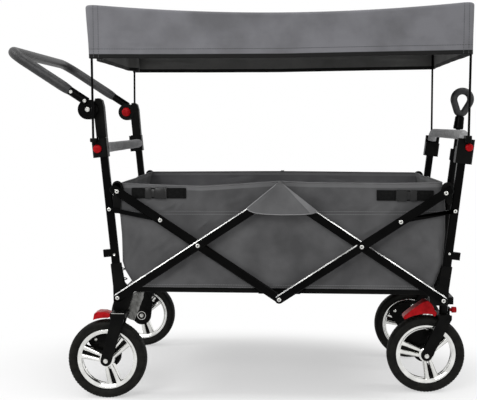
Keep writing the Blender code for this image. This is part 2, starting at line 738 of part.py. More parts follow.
def outer_bar(side, start, end, pins, reach=0.0):
    """A bar of the outer layer, with a rivet head and a pin into the inner layer at each of its pins."""
    bar = plate(bar_outline(start, end, reach), side * OUTER_BAR_IN, side * OUTER_FACE)
    for point, depth, radius in pins:
        join(bar, across(point, side * (OUTER_BAR_IN + RIVET_SINK), side * depth, radius))
        join(bar, across(point, side * (OUTER_FACE - RIVET_SINK), side * (OUTER_FACE + RIVET_HEIGHT),
                         RIVET_RADIUS))
    return bar


def inner_bar(side, start, end, holes, heads, reach=0.0):
    """A bar of the inner layer, with holes for the outer bars' pins and its own rivet heads."""
    face = INNER_BAR_IN + BAR_THICKNESS
    bar = plate(bar_outline(start, end, reach), side * INNER_BAR_IN, side * face,
                [pivot_hole(point) for point in holes])
    for point in heads:
        join(bar, across(point, side * (face - RIVET_SINK), side * (face + RIVET_HEIGHT), RIVET_RADIUS))
    return bar


for word, side in SIDES.items():
    rear_outer = outer_bar(side, B_REAR, C_TOP, [(B_REAR, LINK_IN, SPACER_RADIUS),
                                                 (M_REAR, PIN_DEPTH, PIN_RADIUS),
                                                 (C_TOP, PIN_DEPTH, PIN_RADIUS)])
    publish(rear_outer, "rear_outer_bar_" + word, FRAME_BLACK, fold)
    rear_inner = inner_bar(side, C_LOW, A_REAR, [M_REAR], [A_REAR, Q_REAR], BAR_END_REACH)
    publish(rear_inner, "rear_inner_bar_" + word, FRAME_BLACK, rear_cross_axis)
    front_inner = inner_bar(side, B_FRONT, C_TOP, [M_FRONT, C_TOP], [B_FRONT])
    join(front_inner, across(B_FRONT, side * (INNER_BAR_IN + RIVET_SINK), side * LINK_IN, SPACER_RADIUS))
    publish(front_inner, "front_inner_bar_" + word, FRAME_BLACK, front_bar_axis)
    front_outer = outer_bar(side, C_LOW, A_FRONT, [(M_FRONT, PIN_DEPTH, PIN_RADIUS)], BAR_END_REACH)
    for point in (C_LOW, A_FRONT, Q_FRONT):
        join(front_outer, across(point, side * (OUTER_FACE - RIVET_SINK), side * (OUTER_FACE + RIVET_HEIGHT),
                                 RIVET_RADIUS))
    publish(front_outer, "front_outer_bar_" + word, FRAME_BLACK, front_cross_axis)


# Stabiliser links between the posts and the bars
def link_outline(start, end):
    """A narrow strap with round ends."""
    heading = math.degrees(math.atan2(end[1] - start[1], end[0] - start[0]))
    return (arc(start, LINK_HALF_HEIGHT, heading + 90, heading + 270, 7)
            + arc(end, LINK_HALF_HEIGHT, heading - 90, heading + 90, 7))


for start, finish, name in ((P_REAR, Q_REAR, "rear_link_"), (P_FRONT, Q_FRONT, "front_link_")):
    axis = pivot(name + "axis", start[0], 0, start[1])
    for word, side in SIDES.items():
        strap = plate(link_outline(start, finish), side * LINK_IN, side * (LINK_IN + LINK_THICKNESS))
        head = across(start, side * (LINK_IN + LINK_THICKNESS - RIVET_SINK),
                      side * (LINK_IN + LINK_THICKNESS + RIVET_HEIGHT), LINK_HEAD_RADIUS)
        publish(join(strap, head), name + word, FRAME_BLACK, axis)

# Floor: two boards that lift and a centre slat on its own crossbar
for end, name, joint in ((-1, "rear_floor_board", None), (1, "front_floor_board", front_frame)):
    axis = pivot(name + "_axis", end * CROSSBAR_X, 0, PIVOT_Z)
    board = box(end * CROSSBAR_X, end * (CROSSBAR_X - BOARD_LENGTH), -BOARD_HALF_Y, BOARD_HALF_Y,
                FLOOR_BOTTOM, FLOOR_TOP)
    if end > 0:
        notch = LUG_GAP + LUG_THICKNESS + NOTCH_PLAY
        cut(board, box(CROSSBAR_X + OVERRUN, CROSSBAR_X - NOTCH_DEPTH, -notch, notch,
                       FLOOR_BOTTOM - OVERRUN, FLOOR_TOP + OVERRUN))
    publish(board, name, PLASTIC_BLACK, axis)

slat = box(-SLAT_HALF, SLAT_HALF, -BOARD_HALF_Y, BOARD_HALF_Y, FLOOR_BOTTOM - SLAT_DROP, FLOOR_TOP)
centre_reach = INNER_BAR_IN - CLEARANCE
join(slat, rod((0, -centre_reach, PIVOT_Z), (0, centre_reach, PIVOT_Z), CROSSBAR_RADIUS))
publish(slat, "floor_centre_slat", PLASTIC_BLACK, centre_axis)


# Wheels
def wheel_frame(x, y):
    """Turns a shape about +Z into one about +Y at a wheel's centre, with a flat of the tyre down."""
    return (Matrix.Translation((MID_X + x, y, WHEEL_RADIUS)) @ Matrix.Rotation(math.pi / 2, 4, "X")
            @ Matrix.Rotation(math.pi / WHEEL_STEPS, 4, "Z"))


def tyre(x, y):
    """A ribbed tyre's plain body, flat where it meets the ground."""
    stretch = 1.0 / math.cos(math.pi / WHEEL_STEPS)
    depth = WHEEL_RADIUS - TYRE_INNER
    half = [(0.0, 0.76), (0.40, 0.97), (0.68, 1.0), (0.90, 0.78), (1.0, 0.43)]
    right_side = [(TYRE_INNER + depth * r, -TYRE_HALF_WIDTH * w) for r, w in half]
    profile = [(r, -h) for r, h in right_side] + right_side[::-1]
    return turned([(r * stretch, h) for r, h in profile], wheel_frame(x, y), WHEEL_STEPS)


def sector(first_deg, last_deg, inner, outer, count):
    """A window between two angles and two radii."""
    return (arc((0, 0), outer, first_deg, last_deg, count)
            + arc((0, 0), inner, last_deg, first_deg, count // 2 + 1))


def rim(x, y):
    """A wheel with three pairs of spokes."""
    windows = []
    for spoke in range(3):
        middle = SPOKE_PHASE + 120.0 * spoke
        windows.append(sector(middle + SPOKE_HALF_DEG, middle + 120 - SPOKE_HALF_DEG, *WINDOW_RADII, 12))
        windows.append(sector(middle - SLOT_HALF_DEG, middle + SLOT_HALF_DEG, *SLOT_RADII, 3))
    circle = arc((0, 0), RIM_RADIUS, 0, 360 - 360 / WHEEL_STEPS, WHEEL_STEPS)
    placing = Matrix.Translation((MID_X + x, y, WHEEL_RADIUS)) @ Matrix.Rotation(math.pi / 2, 4, "X")
    ring = extrude([circle, *windows], 2 * RIM_HALF_WIDTH, placing)
    join(ring, rod((x, y - HUB_HALF_WIDTH, WHEEL_RADIUS), (x, y + HUB_HALF_WIDTH, WHEEL_RADIUS),
                   HUB_RADIUS, 24))
    reach = HUB_HALF_WIDTH + OVERRUN
    hole = rod((x, y - reach, WHEEL_RADIUS), (x, y + reach, WHEEL_RADIUS), AXLE_HOLE_RADIUS, 16)
    return cut(ring, hole)


def fork(leg_top, wheel_x, wheel_y, crown_outline):
    """A fork: a crown over the tyre, a leg on each side of the wheel and the axle bolt."""
    outer = FORK_LEG_IN + FORK_LEG_THICKNESS
    crown = plate(crown_outline, wheel_y - outer - CROWN_PROUD, wheel_y + outer + CROWN_PROUD)
    way = Vector((wheel_x - leg_top[0], WHEEL_RADIUS - leg_top[1]))
    heading = math.degrees(math.atan2(way.y, way.x))
    neck_low = leg_top[1] - FORK_NECK_DROP
    leg = [(leg_top[0] - FORK_NECK_HALF, leg_top[1]), (leg_top[0] - FORK_NECK_HALF, neck_low)]
    leg += arc((wheel_x, WHEEL_RADIUS), FORK_EYE_RADIUS, heading - 90, heading + 90, 11)
    leg += [(leg_top[0] + FORK_NECK_HALF, neck_low), (leg_top[0] + FORK_NECK_HALF, leg_top[1])]
    for way_out in (-1, 1):
        join(crown, plate(leg, wheel_y + way_out * FORK_LEG_IN, wheel_y + way_out * outer))
    reach = outer + AXLE_PROUD
    join(crown, rod((wheel_x, wheel_y - reach, WHEEL_RADIUS), (wheel_x, wheel_y + reach, WHEEL_RADIUS),
                    AXLE_RADIUS, 16))
    return crown


def pedal_outline(wheel_x, hinge, lug, crest, tail_deg, nose_deg):
    """A brake pedal over the tyre: an arc under it, a crest over it and a round lug at its hinge."""
    under = arc((wheel_x, WHEEL_RADIUS), WHEEL_RADIUS + PEDAL_OVER_TYRE, nose_deg, tail_deg, 8)
    return arc(hinge, lug, -70, 60, 7) + crest + under[::-1]


for word, side in SIDES.items():
    wheel_y = side * REAR_WHEEL_Y
    top_z = CASTING_BOTTOM[-1] - CLEARANCE
    crown_low = 2 * WHEEL_RADIUS + CROWN_ABOVE_TYRE
    crown_box = chamfered(REAR_CROWN_X - REAR_CROWN_HALF, REAR_CROWN_X + REAR_CROWN_HALF,
                          crown_low, top_z, 0.002)
    rear_fork = fork((REAR_CROWN_X, top_z - 0.003), REAR_AXLE_X, wheel_y, crown_box)
    publish(rear_fork, "rear_fork_" + word, PLASTIC_BLACK)
    wheel_axis = pivot("rear_wheel_axis_" + word, REAR_AXLE_X, wheel_y, WHEEL_RADIUS)
    publish(tyre(REAR_AXLE_X, wheel_y), "rear_tyre_" + word, TYRE_RUBBER, wheel_axis)
    publish(rim(REAR_AXLE_X, wheel_y), "rear_rim_" + word, RIM_SILVER, wheel_axis)
    lug = PEDAL_LUG[-1]
    hinge = (REAR_CROWN_X - REAR_CROWN_HALF - CLEARANCE - lug, crown_low + PEDAL_RISE[-1])
    crest = [(hinge[0] - 0.010, hinge[1] + 0.0080), (hinge[0] - 0.028, hinge[1] + 0.0085),
             (hinge[0] - 0.0370, hinge[1] + 0.0040), (hinge[0] - 0.0385, hinge[1] - 0.0030)]
    shape = pedal_outline(REAR_AXLE_X, hinge, lug, crest, 108.5, 88)
    pedal_axis = pivot("rear_brake_axis_" + word, hinge[0], wheel_y, hinge[1])
    pedal = plate(shape, wheel_y - PEDAL_HALF_WIDTH, wheel_y + PEDAL_HALF_WIDTH)
    publish(soften(pedal, PEDAL_ROUND, 1), "rear_brake_pedal_" + word, RED_PLASTIC, pedal_axis)

for word, side in SIDES.items():
    wheel_y = side * CASTER_Y
    caster_axis = pivot("caster_axis_" + word, CASTER_X, wheel_y, SOCKET_BOTTOM)
    crown_top = CASTER_CROWN_TOP
    crown_low = crown_top - CASTER_CROWN_DEPTH
    lug = PEDAL_LUG[1]
    hinge = (CASTER_X - 0.0278, crown_top + PEDAL_RISE[1])
    tongue = hinge[0] + lug + CLEARANCE
    crown_shape = [(CASTER_X + CASTER_CROWN_FRONT, crown_top), (tongue, crown_top),
                   (tongue, crown_top - 0.003), (CASTER_X - 0.0085, crown_low),
                   (CASTER_X + CASTER_CROWN_FRONT, crown_low)]
    caster = fork((CASTER_X + 0.001, crown_top - 0.001), FRONT_AXLE_X, wheel_y, crown_shape)
    bracket_x = CASTER_X + SOCKET_RADIUS + LOCK_BRACKET_GAP
    bracket_y = (wheel_y - LOCK_BRACKET_HALF_Y, wheel_y + LOCK_BRACKET_HALF_Y)
    upright = box(bracket_x, bracket_x + LOCK_BRACKET_THICKNESS, *bracket_y,
                  crown_top - 0.0090, crown_top + LOCK_BRACKET_HEIGHT)
    foot = box(CASTER_X + 0.010, bracket_x + 0.001, *bracket_y, crown_top - 0.0090, crown_top - 0.0010)
    join(caster, upright, foot)
    join(caster, rod((CASTER_X, wheel_y, crown_top - 0.004), (CASTER_X, wheel_y, SOCKET_TOP - 0.0095),
                     STEM_RADIUS, 16))
    publish(caster, "caster_fork_" + word, PLASTIC_BLACK, caster_axis)
    wheel_axis = pivot("front_wheel_axis_" + word, FRONT_AXLE_X, wheel_y, WHEEL_RADIUS)
    publish(tyre(FRONT_AXLE_X, wheel_y), "front_tyre_" + word, TYRE_RUBBER, wheel_axis)
    publish(rim(FRONT_AXLE_X, wheel_y), "front_rim_" + word, RIM_SILVER, wheel_axis)
    crest = [(hinge[0] - 0.002, hinge[1] + 0.020), (hinge[0] - 0.0100, hinge[1] + 0.0315),
             (hinge[0] - 0.0180, hinge[1] + 0.0330), (hinge[0] - 0.0280, hinge[1] + 0.0290),
             (hinge[0] - 0.0520, hinge[1] + 0.0120), (hinge[0] - 0.0740, hinge[1] - 0.0060),
             (hinge[0] - 0.0770, hinge[1] - 0.0120)]
    shape = pedal_outline(FRONT_AXLE_X, hinge, lug, crest, 121, 82)
    pedal_axis = pivot("front_brake_axis_" + word, hinge[0], wheel_y, hinge[1])
    pedal = plate(shape, wheel_y - PEDAL_HALF_WIDTH, wheel_y + PEDAL_HALF_WIDTH)
    publish(soften(pedal, PEDAL_ROUND, 1), "front_brake_pedal_" + word, RED_PLASTIC, pedal_axis)
    lock_x = bracket_x + LOCK_BRACKET_THICKNESS + CLEARANCE
    lock_z = CASTER_CROWN_TOP + LOCK_RISE
    lock_axis = pivot("swivel_lock_axis_" + word, lock_x, wheel_y, lock_z)
    neck = rod((lock_x, wheel_y, lock_z), (lock_x + LOCK_NECK_LENGTH, wheel_y, lock_z),
               LOCK_NECK_RADIUS, 12)
    knob = rod((lock_x + 0.0050, wheel_y, lock_z), (lock_x + LOCK_KNOB_END, wheel_y, lock_z),
               LOCK_KNOB_RADIUS, 16, 0.0075)
    publish(join(neck, knob), "swivel_lock_" + word, RED_PLASTIC, lock_axis)

# Telescoping legs of the push handle with their hub housings
for word, side in SIDES.items():
    y_mid = side * POST_Y
    section = rectangle(-BORE_HALF_X + CLEARANCE, BORE_HALF_X - CLEARANCE,
                        y_mid - BORE_HALF_Y + CLEARANCE, y_mid + BORE_HALF_Y - CLEARANCE)
    seat = collar_top(-1) + CLEARANCE
    leg = along_post(-1, [section], LEG_BOTTOM, seat + OVERRUN)
    top = [beside_post(-1, HUB_Z + 0.022, -0.0115), beside_post(-1, HUB_Z + 0.028, -0.004),
           beside_post(-1, HUB_Z + 0.028, 0.006)]
    housing_shape = [beside_post(-1, seat, HOUSING_HALF), beside_post(-1, seat, -HOUSING_HALF),
                     beside_post(-1, HUB_Z + 0.006, -0.0140), *top, beside_post(-1, HUB_Z, HOUSING_HALF)]
    housing = plate(housing_shape, side * (POST_Y - HOUSING_Y_IN), side * (POST_Y + HOUSING_Y_OUT))
    disc_y = side * HUB_DISC_IN
    disc = rod((hub_x, disc_y, HUB_Z), (hub_x, side * HUB_DISC_OUT, HUB_Z), HUB_DISC_RADIUS, 32)
    join(leg, housing, disc)
    cut(leg, button_pocket((hub_x, HUB_Z), disc_y, side, HUB_BUTTON_RADIUS))
    publish(leg, "handle_leg_" + word, PLASTIC_BLACK, handle_slide)
    hub_axis = pivot("hub_button_axis_" + word, hub_x, disc_y, HUB_Z)
    hub_button = button((hub_x, HUB_Z), disc_y, side, HUB_BUTTON_RADIUS)
    publish(hub_button, "hub_button_" + word, RED_PLASTIC, hub_axis)

# Push handle: a U of tube on two eye discs, with a foam sleeve
RISE = math.radians(HANDLE_RISE_DEG)
HANDLE_WAY = (-math.cos(RISE), math.sin(RISE))
HANDLE_UP = (math.sin(RISE), math.cos(RISE))


def on_handle(s, y):
    """A point of the handle's middle line: s from the hub along the legs, y across."""
    return (hub_x + s * HANDLE_WAY[0] + HANDLE_OFFSET * HANDLE_UP[0], y,
            HUB_Z + s * HANDLE_WAY[1] + HANDLE_OFFSET * HANDLE_UP[1])


def handle_route(start):
    """The U from one leg's start, round both corners, to the other leg's start."""
    corner_s = HANDLE_LENGTH - HANDLE_CORNER
    corner_y = HANDLE_TUBE_Y - HANDLE_CORNER
    first = arc((corner_s, -corner_y), HANDLE_CORNER, -90, 0, 7)
    second = arc((corner_s, corner_y), HANDLE_CORNER, 0, 90, 7)
    flat = [(start, -HANDLE_TUBE_Y), *first, *second, (start, HANDLE_TUBE_Y)]
    return [on_handle(s, y) for s, y in flat]


push_handle = tube(handle_route(HANDLE_START), HANDLE_TUBE_RADIUS)
eye_out = EYE_DISC_IN + EYE_DISC_THICKNESS
for side in SIDES.values():
    join(push_handle, rod((hub_x, side * EYE_DISC_IN, HUB_Z), (hub_x, side * eye_out, HUB_Z),
                          HUB_DISC_RADIUS, 32))
publish(push_handle, "push_handle", FRAME_BLACK, handle_tilt)
sleeve = tube(handle_route(FOAM_START), FOAM_RADIUS)
cut(sleeve, tube(handle_route(FOAM_START - 2 * OVERRUN), FOAM_BORE))
publish(sleeve, "push_handle_foam", FOAM_DARK, handle_tilt)


# Front arch: a U of tube in the front posts with a foam grip on its crossbar
def arch_point(along, y):
    """A point of the arch's middle line at a height along the leaning post."""
    return (post_x(1, along), y, along)


arch_route = [arch_point(ARCH_LEG_BOTTOM, -POST_Y), arch_point(ARCH_Z - ARCH_CORNER, -POST_Y)]
for step in range(1, 5):
    turn = math.radians(90 * step / 5)
    arch_route.append(arch_point(ARCH_Z - ARCH_CORNER * (1 - math.sin(turn)),
                                 -POST_Y + ARCH_CORNER * (1 - math.cos(turn))))
arch_route.append(arch_point(ARCH_Z, -POST_Y + ARCH_CORNER))
arch_route += [(x, -y, z) for x, y, z in reversed(arch_route)]
arch = tube(arch_route, ARCH_TUBE_RADIUS)
arch_reach = POST_Y - ARCH_CORNER
join(arch, rod((post_x(1, ARCH_Z), -arch_reach, ARCH_Z), (post_x(1, ARCH_Z), arch_reach, ARCH_Z),
               ARCH_FOAM_RADIUS, 16))
publish(arch, "front_arch", FOAM_GREY, front_frame)

# Canopy bows: an inverted U of wire at each end
for end, name, joint in ((-1, "rear_canopy_bow", None), (1, "front_canopy_bow", front_frame)):
    x = BOW_X[end]
    route = [(x, -BOW_FOOT_Y, bow_foot(end)), (x, -BOW_TOP_Y, BOW_TOP_Z - BOW_CORNER)]
    corner = arc((-BOW_TOP_Y + BOW_CORNER, BOW_TOP_Z - BOW_CORNER), BOW_CORNER, 180, 90, 5)
    route += [(x, y, z) for y, z in corner[1:]]
    route += [(px, -y, z) for px, y, z in reversed(route)]
    publish(tube(route, BOW_RADIUS, 2), name, FRAME_BLACK, joint)


# Canopy: one sheet with a sagging top and four hanging sides
def canopy_sheet():
    """An open box of cloth: its top sags between the bows and its hems bow in a little."""
    x_mid = (CANOPY_FRONT - CANOPY_BACK) / 2
    size = (CANOPY_FRONT + CANOPY_BACK, 2 * CANOPY_HALF_Y, CANOPY_TOP - CANOPY_BOTTOM)
    centre = Vector((MID_X + x_mid, 0, (CANOPY_TOP + CANOPY_BOTTOM) / 2))
    bm = bmesh.new()
    placing = Matrix.Translation(centre) @ Matrix.Diagonal((*size, 1.0))
    bmesh.ops.create_cube(bm, size=1.0, matrix=placing)
    under = [face for face in bm.faces if face.normal.z < -0.9]
    bmesh.ops.delete(bm, geom=under, context="FACES")
    for axis, count in CANOPY_CUTS.items():
        along = [edge for edge in bm.edges
                 if abs((edge.verts[0].co - edge.verts[1].co).normalized()[axis]) > 0.9]
        bmesh.ops.subdivide_edges(bm, edges=along, cuts=count, use_grid_fill=True)
    for vert in bm.verts:
        share = max(1 - ((vert.co.x - centre.x) / (size[0] / 2)) ** 2, 0.0)
        height = (vert.co.z - CANOPY_BOTTOM) / size[2]
        vert.co.z -= CANOPY_SAG * share * height
        wave = math.sin(CANOPY_WAVES * math.pi * (vert.co.x - centre.x) / size[0])
        hem_in = CANOPY_WAVE * (1 + wave) / 2 * share * (1 - height)
        if abs(vert.co.y) > CANOPY_HALF_Y - 0.001:
            vert.co.y -= math.copysign(CANOPY_DRAW_IN * share * height + hem_in, vert.co.y)
    made = object_from(bm, "canopy")
    shell = made.modifiers.new("cloth", "SOLIDIFY")
    shell.thickness = CANOPY_THICKNESS
    shell.offset = -1
    return made


publish(canopy_sheet(), "canopy", CANOPY_GREY)


# Basket: a tub of cloth, open at the top, with its lower corners cut away and a flap on each side
def basket_outline(inset):
    """The side of the basket; inset draws it in on every side but the top."""
    corner = 0.7071 * inset
    half = BASKET_HALF_X - inset
    low = BASKET_BOTTOM + inset
    (_, upper), (in_x, in_z), (foot_x, _) = BASKET_CORNERS
    side = [(half, BASKET_TOP), (half, BASKET_BOTTOM + upper),
            (half - in_x - corner * 0.3, BASKET_BOTTOM + in_z + corner * 0.4), (half - foot_x, low)]
    return side + [(-x, z) for x, z in reversed(side)]


basket = plate(basket_outline(0.0), -BASKET_HALF_Y, BASKET_HALF_Y)
inner_y = BASKET_HALF_Y - BASKET_WALL
room = [(x, z if z < BASKET_TOP - 0.001 else BASKET_TOP + 2 * OVERRUN)
        for x, z in basket_outline(BASKET_WALL)]
cut(basket, plate(room, -inner_y, inner_y))
ridge_half = FLAP_HALF_WIDTH * FLAP_TOP_SHARE
ridge_low = BASKET_TOP - RIDGE_TOP - RIDGE_HEIGHT
flap_half = [(FLAP_HALF_WIDTH * FLAP_LOW_SHARE, BASKET_TOP - FLAP_DROP),
             (FLAP_HALF_WIDTH, BASKET_TOP - FLAP_SHOULDER), (ridge_half, ridge_low + CLEARANCE)]
flap = flap_half + [(-x, z) for x, z in reversed(flap_half)]
for side in SIDES.values():
    ridge = box(-ridge_half, ridge_half, side * (BASKET_HALF_Y - BASKET_WALL * 0.6),
                side * (FLAP_OUT + FLAP_THICKNESS - 0.0002), ridge_low, ridge_low + RIDGE_HEIGHT)
    join(basket, ridge, plate(flap, side * FLAP_OUT, side * (FLAP_OUT + FLAP_THICKNESS)))
publish(basket, "basket", BASKET_GREY, front_bar_axis)

# Drawbar: an outer tube with its collar and an inner rod that ends in a foam hand loop
drawbar_scale = math.hypot(1.0, DRAWBAR_LEAN)
DRAWBAR_WAY = Vector((DRAWBAR_LEAN, 0.0, 1.0)) / drawbar_scale
DRAWBAR_SIDE = Vector((1.0, 0.0, -DRAWBAR_LEAN)) / drawbar_scale
DRAWBAR_FOOT = Vector((DRAWBAR_FOOT_X, 0.0, DRAWBAR_FOOT_Z))


def on_drawbar(s, out=0.0):
    """A point s along the drawbar from its foot, and out to its front."""
    return tuple(DRAWBAR_FOOT + DRAWBAR_WAY * s + DRAWBAR_SIDE * out)


collar_low = DRAWBAR_TUBE_LENGTH - DRAWBAR_COLLAR_LENGTH
outline = [(DRAWBAR_COLLAR_RADIUS - 0.001, DRAWBAR_TUBE_LENGTH),
           (DRAWBAR_COLLAR_RADIUS, DRAWBAR_TUBE_LENGTH - 0.001),
           (DRAWBAR_COLLAR_RADIUS, collar_low + 0.002), (DRAWBAR_TUBE_RADIUS, collar_low),
           (DRAWBAR_TUBE_RADIUS, DRAWBAR_TUBE_START), (DRAWBAR_BORE, DRAWBAR_TUBE_START),
           (DRAWBAR_BORE, DRAWBAR_TUBE_LENGTH)]
turn = Matrix((DRAWBAR_SIDE, Vector((0, 1, 0)), DRAWBAR_WAY)).transposed().to_4x4()
foot_place = Matrix.Translation(DRAWBAR_FOOT + Vector((MID_X, 0, 0))) @ turn
drawbar = turned(outline, foot_place, 20)
eye_flat = arc((0.0, 0.0), DRAWBAR_EYE_RADIUS, 90, 270, 9)
eye_flat += [(DRAWBAR_EYE_TOP, -DRAWBAR_EYE_HALF), (DRAWBAR_EYE_TOP, DRAWBAR_EYE_HALF)]
eye_outline = [on_drawbar(s, out)[::2] for s, out in eye_flat]
join(drawbar, plate(eye_outline, -LUG_GAP + LUG_PLAY, LUG_GAP - LUG_PLAY))
cut(drawbar, across((DRAWBAR_FOOT_X, DRAWBAR_FOOT_Z), -0.02, 0.02, PIN_HOLE_RADIUS, 16))
publish(drawbar, "drawbar_tube", FRAME_BLACK, drawbar_axis)

handle_rod = rod(on_drawbar(DRAWBAR_ROD_START), on_drawbar(DRAWBAR_KNOT_START + 0.004),
                 DRAWBAR_ROD_RADIUS, 16)
knot = rod(on_drawbar(DRAWBAR_KNOT_START), on_drawbar(DRAWBAR_KNOT_END), DRAWBAR_KNOT_RADII[0], 16,
           DRAWBAR_KNOT_RADII[1])
low_s = DRAWBAR_KNOT_END + LOOP_LOW_RADIUS + LOOP_SINK
high_s = low_s + LOOP_CENTRES
tilt = math.degrees(math.asin((LOOP_HIGH_RADIUS - LOOP_LOW_RADIUS) / LOOP_CENTRES))
loop_flat = arc((0.0, high_s), LOOP_HIGH_RADIUS, -tilt, 180 + tilt, 15)
loop_flat += arc((0.0, low_s), LOOP_LOW_RADIUS, 180 + tilt, 360 - tilt, 7)
loop_points = [on_drawbar(s, out) for out, s in loop_flat]
hand_loop = tube(loop_points, LOOP_FOAM_RADIUS, 2, closed=True)
publish(join(handle_rod, knot, hand_loop), "drawbar_handle", FOAM_DARK, drawbar_axis)
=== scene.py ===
import json
import math

import bmesh
import bpy
import numpy as np
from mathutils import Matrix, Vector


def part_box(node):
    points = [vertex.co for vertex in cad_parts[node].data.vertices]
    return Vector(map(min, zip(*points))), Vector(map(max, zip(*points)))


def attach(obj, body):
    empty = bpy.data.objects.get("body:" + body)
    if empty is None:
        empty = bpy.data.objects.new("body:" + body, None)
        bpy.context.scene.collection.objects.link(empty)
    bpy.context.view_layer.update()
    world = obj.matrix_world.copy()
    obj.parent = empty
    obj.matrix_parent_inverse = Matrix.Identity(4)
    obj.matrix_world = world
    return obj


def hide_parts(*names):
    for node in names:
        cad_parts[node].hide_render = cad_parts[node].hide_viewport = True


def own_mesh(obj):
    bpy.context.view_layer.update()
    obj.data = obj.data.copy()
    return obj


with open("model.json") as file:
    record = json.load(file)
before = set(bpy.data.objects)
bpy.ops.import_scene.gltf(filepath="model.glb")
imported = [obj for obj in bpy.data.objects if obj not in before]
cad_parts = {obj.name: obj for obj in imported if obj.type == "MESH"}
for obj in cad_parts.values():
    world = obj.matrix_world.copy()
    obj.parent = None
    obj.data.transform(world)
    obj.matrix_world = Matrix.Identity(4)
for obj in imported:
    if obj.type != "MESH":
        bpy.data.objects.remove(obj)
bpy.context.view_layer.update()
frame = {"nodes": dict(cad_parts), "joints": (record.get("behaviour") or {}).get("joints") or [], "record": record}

# The studio: a white sweep, a soft box overhead, a broad fill from the camera's side and a narrow light
# past each end. The floor goes over into plain white away from the wagon and keeps its soft shadow.
scene = bpy.context.scene
scene.view_settings.view_transform = "Standard"
# The wagon's middle crossing in X; places along the wagon are given from it
MID = 0.0809


def add(tree, kind, sockets=None, **settings):
    """Adds a shader node, gives it its settings, and sets or links its sockets."""
    made = tree.nodes.new("ShaderNode" + kind)
    for name, value in settings.items():
        setattr(made, name, value)
    for name, value in (sockets or {}).items():
        if isinstance(value, bpy.types.NodeSocket):
            tree.links.new(value, made.inputs[name])
        else:
            made.inputs[name].default_value = value
    return made


def seen_directly(tree):
    """One for the rays that carry the backdrop itself: from the camera, a mirror or glass."""
    rays = add(tree, "LightPath")
    mirror = add(tree, "Math", {0: rays.outputs["Is Camera Ray"], 1: rays.outputs["Is Glossy Ray"]},
                 operation="MAXIMUM")
    return add(tree, "Math", {0: mirror.outputs[0], 1: rays.outputs["Is Transmission Ray"]},
               operation="MAXIMUM").outputs[0]


SKY_LEVEL = 0.62
world = bpy.data.worlds.new("studio")
scene.world = world
world.use_nodes = True
world.node_tree.nodes.clear()
sky_strength = add(world.node_tree, "MapRange", {"Value": seen_directly(world.node_tree), "To Min": SKY_LEVEL,
                                                 "To Max": 1.0})
sky = add(world.node_tree, "Background", {"Color": (1, 1, 1, 1), "Strength": sky_strength.outputs[0]})
add(world.node_tree, "OutputWorld", {"Surface": sky.outputs[0]})


def placed(name, data):
    """A new object in the scene that shows a mesh, lamp or camera."""
    made = bpy.data.objects.new(name, data)
    scene.collection.objects.link(made)
    return made


def soft_box(name, place, aim, width, depth, watts):
    """An area lamp that looks at a point."""
    lamp = bpy.data.lights.new(name, "AREA")
    lamp.shape = "RECTANGLE"
    lamp.size = width
    lamp.size_y = depth
    lamp.energy = watts
    lamp_object = placed(name, lamp)
    way = np.array(aim) - np.array(place)
    lamp_object.location = place
    lamp_object.rotation_euler = Vector(way).to_track_quat("-Z", "Y").to_euler()


soft_box("overhead", (MID, 0.0, 3.4), (MID, 0.0, 0.4), 0.9, 0.5, 20)
soft_box("front_fill", (MID - 1.2, -3.0, 2.2), (MID, 0.0, 0.6), 1.5, 1.2, 44)
for side in (-1, 1):
    soft_box("edge_light", (MID + side * 2.17, -0.45, 2.66), (MID + side * 0.2, -0.29, 0.42), 0.25, 1.1, 17)

# The camera as fitted to the photograph: its place, how far it looks down and left, and its focal
# length in pixels of a picture 477 wide
LOOKS_DOWN, LOOKS_LEFT, FOCAL_PIXELS, PICTURE_WIDE, SENSOR_WIDE = 4.760, 3.381, 922.14, 477, 36.0
camera = placed("camera", bpy.data.cameras.new("camera"))
camera.location = (MID + 0.033, -2.5696, 0.6978)
camera.rotation_euler = (math.radians(90 - LOOKS_DOWN), 0, math.radians(LOOKS_LEFT))
camera.data.sensor_width = SENSOR_WIDE
camera.data.lens = FOCAL_PIXELS * SENSOR_WIDE / PICTURE_WIDE
scene.camera = camera

# The shadow's oval on the floor: its share of length, its middle, and the distances where the floor
# begins and ends to turn into plain white
FLOOR_HALF, FLOOR_LIFT = 7.0, 0.40
OVAL, OVAL_MIDDLE, OVAL_INNER, OVAL_OUTER = 0.58, MID - 0.12, 0.24, 0.56
floor_mesh = bpy.data.meshes.new("floor")
floor_mesh.from_pydata([(-FLOOR_HALF, -FLOOR_HALF, 0), (FLOOR_HALF, -FLOOR_HALF, 0), (FLOOR_HALF, FLOOR_HALF, 0),
                        (-FLOOR_HALF, FLOOR_HALF, 0)], [], [(0, 1, 2, 3)])
placed("floor", floor_mesh)
white_sweep = bpy.data.materials.new("white_sweep")
white_sweep.use_nodes = True
tree = white_sweep.node_tree
tree.nodes.clear()
place = add(tree, "TexCoord")
squeezed = add(tree, "VectorMath", {0: place.outputs["Object"], 1: (OVAL, 1.0, 1.0)}, operation="MULTIPLY")
from_wagon = add(tree, "VectorMath", {0: squeezed.outputs[0], 1: (OVAL * OVAL_MIDDLE, 0, 0)}, operation="DISTANCE")
away = add(tree, "MapRange", {"Value": from_wagon.outputs["Value"], "From Min": OVAL_INNER, "From Max": OVAL_OUTER,
                              "To Min": FLOOR_LIFT, "To Max": 1.0}, interpolation_type="SMOOTHSTEP")
share = add(tree, "Math", {0: away.outputs[0], 1: seen_directly(tree)}, operation="MULTIPLY")
paper = add(tree, "BsdfDiffuse", {"Color": (0.92, 0.92, 0.92, 1)})
glow = add(tree, "Emission", {"Color": (1, 1, 1, 1), "Strength": 1.0})
sweep = add(tree, "MixShader", {0: share.outputs[0], 1: paper.outputs[0], 2: glow.outputs[0]})
add(tree, "OutputMaterial", {"Surface": sweep.outputs[0]})
floor_mesh.materials.append(white_sweep)

